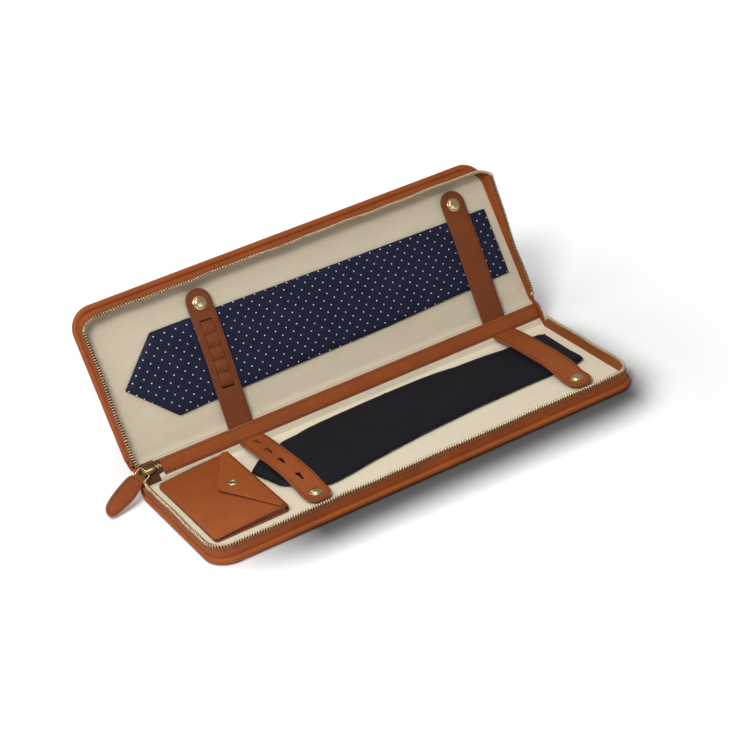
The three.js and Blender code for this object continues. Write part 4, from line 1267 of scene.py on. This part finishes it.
@dataclass
class Puller:
    """Leather puller on a wire link."""

    bar: tuple[float, float, float] = (-195.8, 9.6, 5.6)
    turn: float = radians(204.7)
    lift: float = radians(3.7)
    wire: float = 0.6
    half: float = 5.2
    bend: float = 1.6
    reach: float = 7.8
    length: float = 41.0
    thick: float = 2.6

    def build(self) -> None:
        """Makes the link, the tab and its stitches."""
        swing = Matrix.Rotation(self.turn, 4, "Z") @ Matrix.Rotation(-self.lift, 4, "Y")
        self.matrix = Place.SPINE.matrix @ at(*self.bar) @ swing
        self.upright = Matrix.Rotation(pi / 2, 4, "X")
        self.link()
        self.tab()

    def link(self) -> None:
        """Round wire bent to a rounded rectangle."""
        work = Workpiece("puller_link_brass", self.matrix)
        side, near, far = self.half - self.bend, self.bend, self.reach - self.bend
        bmesh.ops.create_circle(work.bm, segments=12, radius=self.wire, matrix=at(0, -side, 0) @ self.upright)
        edges = work.bm.edges[:]
        across, along = 2 * side, self.reach - 2 * self.bend
        for way, corner in (((0, across, 0), (near, side, 0)), ((along, 0, 0), (far, side, 0)),
                            ((0, -across, 0), (far, -side, 0)), ((-along, 0, 0), (near, -side, 0))):
            edges = work.turn(work.pull(edges, way), corner, -pi / 2, 6)
        work.close()
        work.finish("puller", Finish.BRASS, node="puller_link")

    def outline(self, inset: float) -> list[Vector]:
        """Outline of the tab: cut straight at the link, widest before its middle, its blunt point to one side."""
        drawn = [(8.7, 0.0), (9.0, -4.2), (11.0, -6.6), (14.5, -7.8), (22.0, -8.1), (32.0, -7.6), (41.0, -6.2),
                 (46.0, -3.9), (48.6, 0.2), (48.3, 3.6), (45.0, 6.0), (36.0, 7.6), (25.0, 8.2), (16.0, 7.0),
                 (10.6, 4.8), (9.0, 2.6)]
        line = Path([(x, y, 0) for x, y in [*drawn, drawn[0]]]).smooth(4).points[:-1]
        middle, made = Vector((28.5, 0, 0)), []
        for i, p in enumerate(line):
            heading = (line[(i + 1) % len(line)] - line[i - 1]).normalized()
            inward = Vector((-heading.y, heading.x, 0))
            made.append(p + inward * (inset if inward.dot(middle - p) > 0 else -inset))
        return made

    def tab(self) -> None:
        """Two layers of leather sewn together round the link's bar."""
        work = Workpiece("puller_tab_leather", self.matrix)
        work.fill(work.loop(self.outline(0.0)))
        work.slice(0, [self.reach + 3.0 * i for i in range(1, 15)])
        work.thicken(work.bm.faces[:], (0, 0, self.thick))
        work.trim(0.55, 3)
        work.shape(self.droop)
        bmesh.ops.create_cone(work.bm, cap_ends=True, segments=20, radius1=1.75, radius2=1.75, depth=8.4,
                              matrix=at(self.reach, 0, 0) @ self.upright)
        work.finish("puller", Finish.STRAP, Finish.EDGE, node="puller_tab", crease=50)
        seam = Path([self.droop(p + UP * self.thick) for p in self.outline(1.9)])
        SEWING.sew("puller_tab_stitches", self.matrix, "puller", [seam])

    def droop(self, p: Vector) -> Vector:
        """Centres the tab on the link and lets its end hang a little."""
        share = (p.x - self.reach) / self.length
        return Vector((p.x, p.y, p.z - self.thick / 2 - 0.8 * share * share + 0.35 * sin(share * 5)))


@dataclass
class Pouch:
    """Envelope pouch: flat pocket, a wall that turns over into the flap, and the flap's snap."""

    left: float = -190.0
    right: float = -124.0
    back: float = -5.5
    front: float = -113.5
    bottom: float = 5.8
    top: float = 12.6
    left_top: float = 9.0
    leather: float = 1.2
    tip: float = -157.0
    tip_y: float = -55.5
    tip_half: float = 1.6

    def build(self) -> None:
        """Makes the body, the flap and the snap."""
        self.panels()
        self.flap()
        self.snap()

    def panel(self, work: Workpiece, height: Callable[[float], float]) -> None:
        """Adds one flat leather panel whose underside follows a height rule along X."""
        bm = work.bm
        faces, verts = set(bm.faces), set(bm.verts)
        edges = work.loop([(self.right, self.front, 0), (self.right, self.back, 0)], closed=False)
        edges = work.pull(edges, (self.left - self.right, 0, 0), 12)
        bevel(bm, [v for e in edges for v in e.verts], 4.0, 6, "VERTICES")
        work.thicken([f for f in bm.faces if f not in faces], (0, 0, self.leather))
        for v in [v for v in bm.verts if v not in verts]:
            v.co.z += height(v.co.x)

    def slope(self, x: float) -> float:
        """Underside of the pouch's top panel."""
        share = (x - self.left) / (self.right - self.left)
        return self.left_top - self.leather + (self.top - self.left_top) * (1 - (1 - share) ** 1.6)

    def panels(self) -> None:
        """Top and bottom panels with the folded gusset between them."""
        place = Place.BASE.matrix
        work = Workpiece("pouch_body_leather", place)
        self.panel(work, lambda x: self.bottom)
        self.panel(work, self.slope)
        work.trim(0.35)
        gusset = Workpiece("pouch_gusset_leather", place)
        x0, x1, z = self.left + 1.4, self.right - 1.0, self.bottom + self.leather
        for y in (self.front + 1.6, self.back - 2.4):
            gusset.pull(gusset.loop([(x0, y, z), (x0, y + 0.8, z)], closed=False), (x1 - x0, 0, 0), 10)
        for v in gusset.thicken(gusset.bm.faces[:], (0, 0, 1.0)):
            v.co.z = self.slope(v.co.x)
        gusset.outwards()
        gusset.finish("pouch", Finish.EDGE)
        work.finish("pouch", Finish.STRAP, Finish.EDGE, node="pouch_body", crease=50)
        seams = [Path([(x, y, self.slope(x) + self.leather)
                       for x in range(int(self.left) + 4, int(self.right) - 6, 3)])
                 for y in (self.front + 1.9, self.back - 1.9)]
        SEWING.sew("pouch_stitches", place, "pouch", seams, lift=-0.08)

    def flap(self) -> None:
        """Wall and flap in one piece of leather, bending where the flap opens."""
        work = Workpiece("pouch_flap_leather", Place.BASE.matrix)
        side, over = self.right + 0.2, self.top + 0.35
        line = Path([(side, 0, self.bottom + 0.1), (side + 0.1, 0, over - 3), (side - 0.5, 0, over - 1.0),
                     (side - 2.2, 0, over - 0.1), (side - 5, 0, over), (self.tip - 2, 0, over)]).smooth()
        wall, reach = line.length - (side - 4 - self.tip), line.length - 2.0
        y0, y1 = self.front + 1.0, self.back - 1.0
        low, high = self.tip_y - self.tip_half, self.tip_y + self.tip_half
        outline = [(0, y0), (wall, y0), (reach, low), (reach, high), (wall, y1), (0, y1)]
        work.fill(work.loop([(s, y, 0) for s, y in outline], rounding=1.4))
        work.slice(0, [0.7 * i for i in range(1, int(wall / 0.7) + 4)] + [wall + 3.0 * i for i in range(1, 10)])
        work.thicken(work.bm.faces[:], (0, 0, self.leather))
        work.trim(0.35)

        def lay(p: Vector) -> Vector:
            """Lays the flat piece up the wall and over the top."""
            place, heading = line.at(p.x)
            return Vector((place.x, p.y, place.z)) + Vector((heading.z, 0, -heading.x)) * p.z

        work.shape(lay)
        piece = work.finish("", Finish.STRAP, Finish.EDGE, node="pouch_flap", crease=50)
        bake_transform(piece)
        creases = []
        for corner, end in ((y0, low), (y1, high)):
            first = Vector((wall, corner + (1.8 if corner < end else -1.8), self.leather))
            run = Vector((reach - 1.6 - wall, end - corner, 0))
            creases.append(Path([lay(first + run * (i / 30)) for i in range(31)]))
        Stitching(1.5, 1.62, 0.3, 0.0).sew("pouch_flap_crease", Place.BASE.matrix, "pouch_flap", creases,
                                           lift=-0.14, ends=0.5, finish=Finish.CREASE)

    def snap(self) -> None:
        """Small brass snap with a dished middle."""
        seat = Place.BASE.matrix @ at(self.tip + 13.5, self.tip_y, self.top + 1.55)
        work = Workpiece("pouch_snap_brass", seat)
        work.lathe([(0, 0.75), (1.9, 0.8), (2.5, 1.15), (3.1, 1.3), (3.8, 1.05), (4.25, 0.55), (4.3, 0.02),
                    (1.7, 0.02), (1.7, -1.0), (0, -1.0)], 32)
        work.finish("pouch_flap", Finish.BRASS, node="pouch_snap_cap", crease=50)


@dataclass
class Tie:
    """A folded silk tie: a closed flat form with rounded folds, laid in soft waves."""

    node: str
    place: Place
    silk: Finish
    outline: Sequence[Point]
    thick: float
    fold: float
    wave: Callable[[float, float], float]
    slip: Callable[[float, float], float]
    grain: float
    seat: float = 5.75
    step: float = 4.0

    def build(self) -> None:
        """Makes the tie."""
        work = Workpiece(f"{self.node}_silk", self.place.matrix)
        bm, body = work.bm, self.place.value
        work.fill(work.loop([(x, y, 0) for x, y in self.outline], rounding=1.2, segments=2))
        spans = []
        for axis, values in enumerate(zip(*self.outline)):
            spans.append(max(values) - min(values))
            work.slice(axis, [min(values) + self.step * i for i in range(1, int(spans[axis] / self.step))])
        region = bm.faces[:]
        for thickness in (0.7, 1.3):
            bmesh.ops.inset_region(bm, faces=region, thickness=thickness, use_even_offset=True)
            region = [f for f in bm.faces if f in set(region)]
        c, s = cos(self.grain), sin(self.grain)
        work.map_flat(lambda p: (p.x * c - p.y * s, p.x * s + p.y * c))
        self.drape(work)
        piece = work.finish(body, self.silk, node=self.node, crease=60)
        area = abs(sum(a[0] * b[1] - b[0] * a[1] for a, b in self.sides()))
        spans[1] * 0.001
        spans[0] * 0.001
        area / 2 * 1e-6

    def sides(self) -> Iterable[tuple[Point, Point]]:
        """The outline's sides, each by its two corners."""
        return zip(self.outline, [*self.outline[1:], self.outline[0]])

    def depth(self, p: Vector) -> float:
        """Distance from a point of the flat tie to its nearest edge."""
        best = 1e9
        for a, b in self.sides():
            a, b = Vector(a), Vector(b)
            share = unit((p.xy - a).dot(b - a) / (b - a).length_squared)
            best = min(best, (p.xy - a - (b - a) * share).length)
        return best

    def drape(self, work: Workpiece) -> None:
        """Gives the flat form its folds, its thickness and its waves."""
        bm, rest = work.bm, self.thick / 2 * 0.8
        lower, heights = bm.verts[:], {}
        for v in lower:
            d = min(1.0, self.depth(v.co) / self.fold)
            heights[round(v.co.x, 3), round(v.co.y, 3)] = sqrt(max(0.0, 1 - (1 - d) ** 2))
        made = bmesh.ops.extrude_face_region(bm, geom=bm.faces[:], use_keep_orig=True)["geom"]
        upper = {g for g in made if isinstance(g, BMVert)}
        for v in bm.verts:
            x, y = v.co.x, v.co.y
            h = heights.get((round(x, 3), round(y, 3)), 1.0)
            level = self.seat + self.wave(x, y)
            if v in upper:
                v.co.z = level + rest + (self.thick - rest) * h + self.slip(x, y) * h
            else:
                v.co.z = level + rest * (1 - h)
        bmesh.ops.remove_doubles(bm, verts=bm.verts[:], dist=1e-3)
        work.outwards()


@dataclass
class Studio:
    """Camera, floor and lights."""

    stand: tuple[float, float, float] = (-0.66293, -1.33358, 0.89814)
    back: tuple[float, float, float] = (-0.38394642, -0.78500092, 0.48616737)
    roll: float = -0.1599
    lens: float = 100.176
    aim: tuple[float, float, float] = (0.0, 0.03, 0.05)

    def build(self) -> None:
        """Sets the studio up."""
        bpy.context.scene.view_settings.view_transform = "Standard"
        self.camera()
        self.floor()
        self.world()
        self.lamp("key", (-0.82, -0.66, 1.4), 0.55, 20.5)
        self.lamp("side", (-1.25, 0.15, 1.1), 0.75, 3.0)
        self.lamp("back", (-0.5, 1.55, 1.25), 0.9, 4.0)
        self.lamp("top", (-0.3, 0.2, 1.9), 0.9, 7.5)
        self.lamp("fill", (0.25, -1.75, 0.6), 0.8, 3.0)

    def place(self, name: str, data: bpy.types.ID) -> bpy.types.Object:
        """Puts a new object in the scene and returns it."""
        item = bpy.data.objects.new(name, data)
        bpy.context.scene.collection.objects.link(item)
        return item

    def camera(self) -> None:
        """Stands the camera where the photograph was taken from."""
        back = Vector(self.back)
        right = UP.cross(back).normalized()
        up = back.cross(right)
        across = right * cos(self.roll) + up * sin(self.roll)
        upward = -right * sin(self.roll) + up * cos(self.roll)
        data = bpy.data.cameras.new("camera")
        data.sensor_width, data.lens = 36.0, self.lens
        data.clip_start, data.clip_end = 0.1, 60.0
        camera = self.place("camera", data)
        camera.matrix_world = at(*self.stand) @ Matrix((across, upward, back)).transposed().to_4x4()
        bpy.context.scene.camera = camera

    def floor(self) -> None:
        """Pale floor with the lamps' shadows of the case and a painted shadow beside it."""
        bm = bmesh.new()
        bmesh.ops.create_grid(bm, x_segments=1, y_segments=1, size=15.0)
        mesh = bpy.data.meshes.new("floor")
        bm.to_mesh(mesh)
        bm.free()
        floor = self.place("floor", mesh)
        floor.location.z = -0.0004
        b = Board(bpy.data.materials.new("floor_paper"))
        # Painted shadow: ambient occlusion leaned towards the back left darkens the floor's colour towards black
        # close to the case.
        lean = b.add("CombineXYZ", X=-0.33, Y=0.76, Z=0.56)
        near = b.add("AmbientOcclusion", samples=24, Distance=0.06, Normal=lean.outputs[0]).outputs["AO"]
        unshadowed_share = b.math("POWER", b.ramp(near, 0.5, 0.92), 3.2)
        where = b.where
        along = b.axes(where)[0]
        # The painted shadow fades out at the case's left end and is weaker beyond its right end.
        weight = b.ramp(along, -0.205, -0.11) * 0.92
        weight = weight * (1.0 - b.ramp(along, 0.19, 0.215) * 0.42)
        share = 1.0 - (1.0 - unshadowed_share) * weight
        b.set(Base_Color=b.blend(share, (0.0, 0.0, 0.0), (0.95, 0.95, 0.95)), Roughness=0.9)
        far = b.ramp(b.add("VectorMath", operation="LENGTH", i0=where).outputs["Value"], 0.27, 0.6)
        glow = b.add("Emission", Strength=far * 0.4).outputs[0]
        seen, lit = b.add("LightPath").outputs["Is Camera Ray"], b.shader.outputs[0]
        both = b.add("AddShader", i0=lit, i1=glow).outputs[0]
        pick = b.add("MixShader", i0=seen, i1=lit, i2=both).outputs[0]
        b.feed(b.tree.nodes["Material Output"], "Surface", pick)
        mesh.materials.append(b.owner)

    def world(self) -> None:
        """White surroundings, dimmer as a light than as seen."""
        b = Board(bpy.data.worlds.new("studio"))
        bpy.context.scene.world = b.owner
        b.tree.nodes.clear()
        rays = b.add("LightPath").outputs["Is Camera Ray"]
        seen, lit = (b.add("Background", Color=(1, 1, 1, 1), Strength=power).outputs[0] for power in (1.0, 0.3))
        pick = b.add("MixShader", i0=rays, i1=lit, i2=seen).outputs[0]
        b.feed(b.tree.nodes.new("ShaderNodeOutputWorld"), 0, pick)

    def lamp(self, name: str, stand: Sequence[float], size: float, power: float) -> None:
        """Adds a square soft lamp that looks at the case.

        Args:
            name: the lamp's name.
            stand: where it stands, in metres.
            size: its side.
            power: in watts.
        """
        data = bpy.data.lights.new(name, "AREA")
        data.size, data.energy = size, power
        lamp = self.place(name, data)
        lamp.location = stand
        lamp.rotation_mode = "QUATERNION"
        lamp.rotation_quaternion = (Vector(self.aim) - Vector(stand)).to_track_quat("-Z", "Y")


def dress_solids() -> None:
    """Gives the solids that stay in sight or inside their own finishes."""
    looks = {"board": Finish.BOARD, "stud": Finish.BRASS, "post": Finish.BRASS, "stop": Finish.BRASS}
    for name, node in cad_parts.items():
        look = next((finish for word, finish in looks.items() if word in name), Finish.COVER)
        node.data.materials.clear()
        node.data.materials.append(look.material)


def dotted_outline() -> list[Point]:
    """Flat outline of the pin-dot tie in the lid's frame, turned so that its point is at the case's left."""
    seen = [(-183.0, 63.5), (-146.5, 27.5), (-87.0, 29.5), (60.0, 31.0), (190.5, 35.5), (191.5, 97.0),
            (60.0, 99.0), (-80.0, 101.5), (-144.5, 101.8)]
    return [(-x, -u) for x, u in seen]


def plain_outline() -> list[Point]:
    """Flat outline of the plain tie in the base's frame."""
    front = [(-112.0, 76.0), (-100.0, 90.0), (-85.0, 102.0), (-66.0, 103.0), (-30.0, 97.0), (20.0, 90.8),
             (77.0, 86.8), (130.0, 85.6), (178.0, 85.8)]
    back = [(176.0, 19.5), (145.0, 19.8), (110.0, 16.8), (60.0, 12.6), (10.0, 11.4), (-30.0, 12.6), (-60.0, 15.6),
            (-85.0, 20.4), (-105.0, 28.5)]
    runs = [[(p.x, p.y) for p in Path([(x, d, 0) for x, d in run]).smooth(3).points] for run in (front, back)]
    return [(x, -d) for x, d in [(-121.0, 43.0), *runs[0], (189.0, 83.0), (189.5, 22.0), *runs[1]]]


def main() -> None:
    """Builds the studio and every piece of the case, and reports each."""
    logging.basicConfig(level=logging.INFO, format="%(name)s %(message)s")
    Studio().build()
    dress_solids()
    Tray(Place.BASE, Finish.CANVAS, 1.5, (24.0, 9.0)).build()
    # The lid's lining has the canvas darkened as painted shade.
    Tray(Place.LID, Finish.SHADED_LID_CANVAS, 9.6, (9.0, 24.0), 6.5, 0.5).build()
    keyholes = [share * 110 for share in (0.11, 0.3, 0.5, 0.77)]
    slits = [36 + 11.5 * i for i in range(6)]
    Strap("base_left", Place.BASE, Finish.STRAP, -98.0, -95.7, 7.9, keyholes=keyholes).build()
    Strap("base_right", Place.BASE, Finish.STRAP, 159.8, 162.5, 7.9).build()
    # The lid's straps use the strap leather darkened as painted shade.
    Strap("lid_left", Place.LID, Finish.SHADED_LID_STRAP, 102.0, 94.4, 5.4, slits=slits).build()
    Strap("lid_right", Place.LID, Finish.SHADED_LID_STRAP, -156.0, -162.6, 5.4).build()
    Spine().build()
    Puller().build()
    Pouch().build()
    Tie("tie_dotted", Place.LID, Finish.DOTTED, dotted_outline(), 3.4, 2.6, lambda x, y: 0.15 * sin(x * 0.03),
        lambda x, y: 0.12 * sin(x * 0.05 + y * 0.04), radians(1.5)).build()
    Tie("tie_plain", Place.BASE, Finish.PLAIN, plain_outline(), 5.6, 5.0, lambda x, y: 0.0,
        lambda x, y: 0.6 * sin(x * 0.028 + 0.5) + 0.35 * sin(y * 0.09 + x * 0.012), radians(40)).build()


if __name__ == "__main__":
    main()
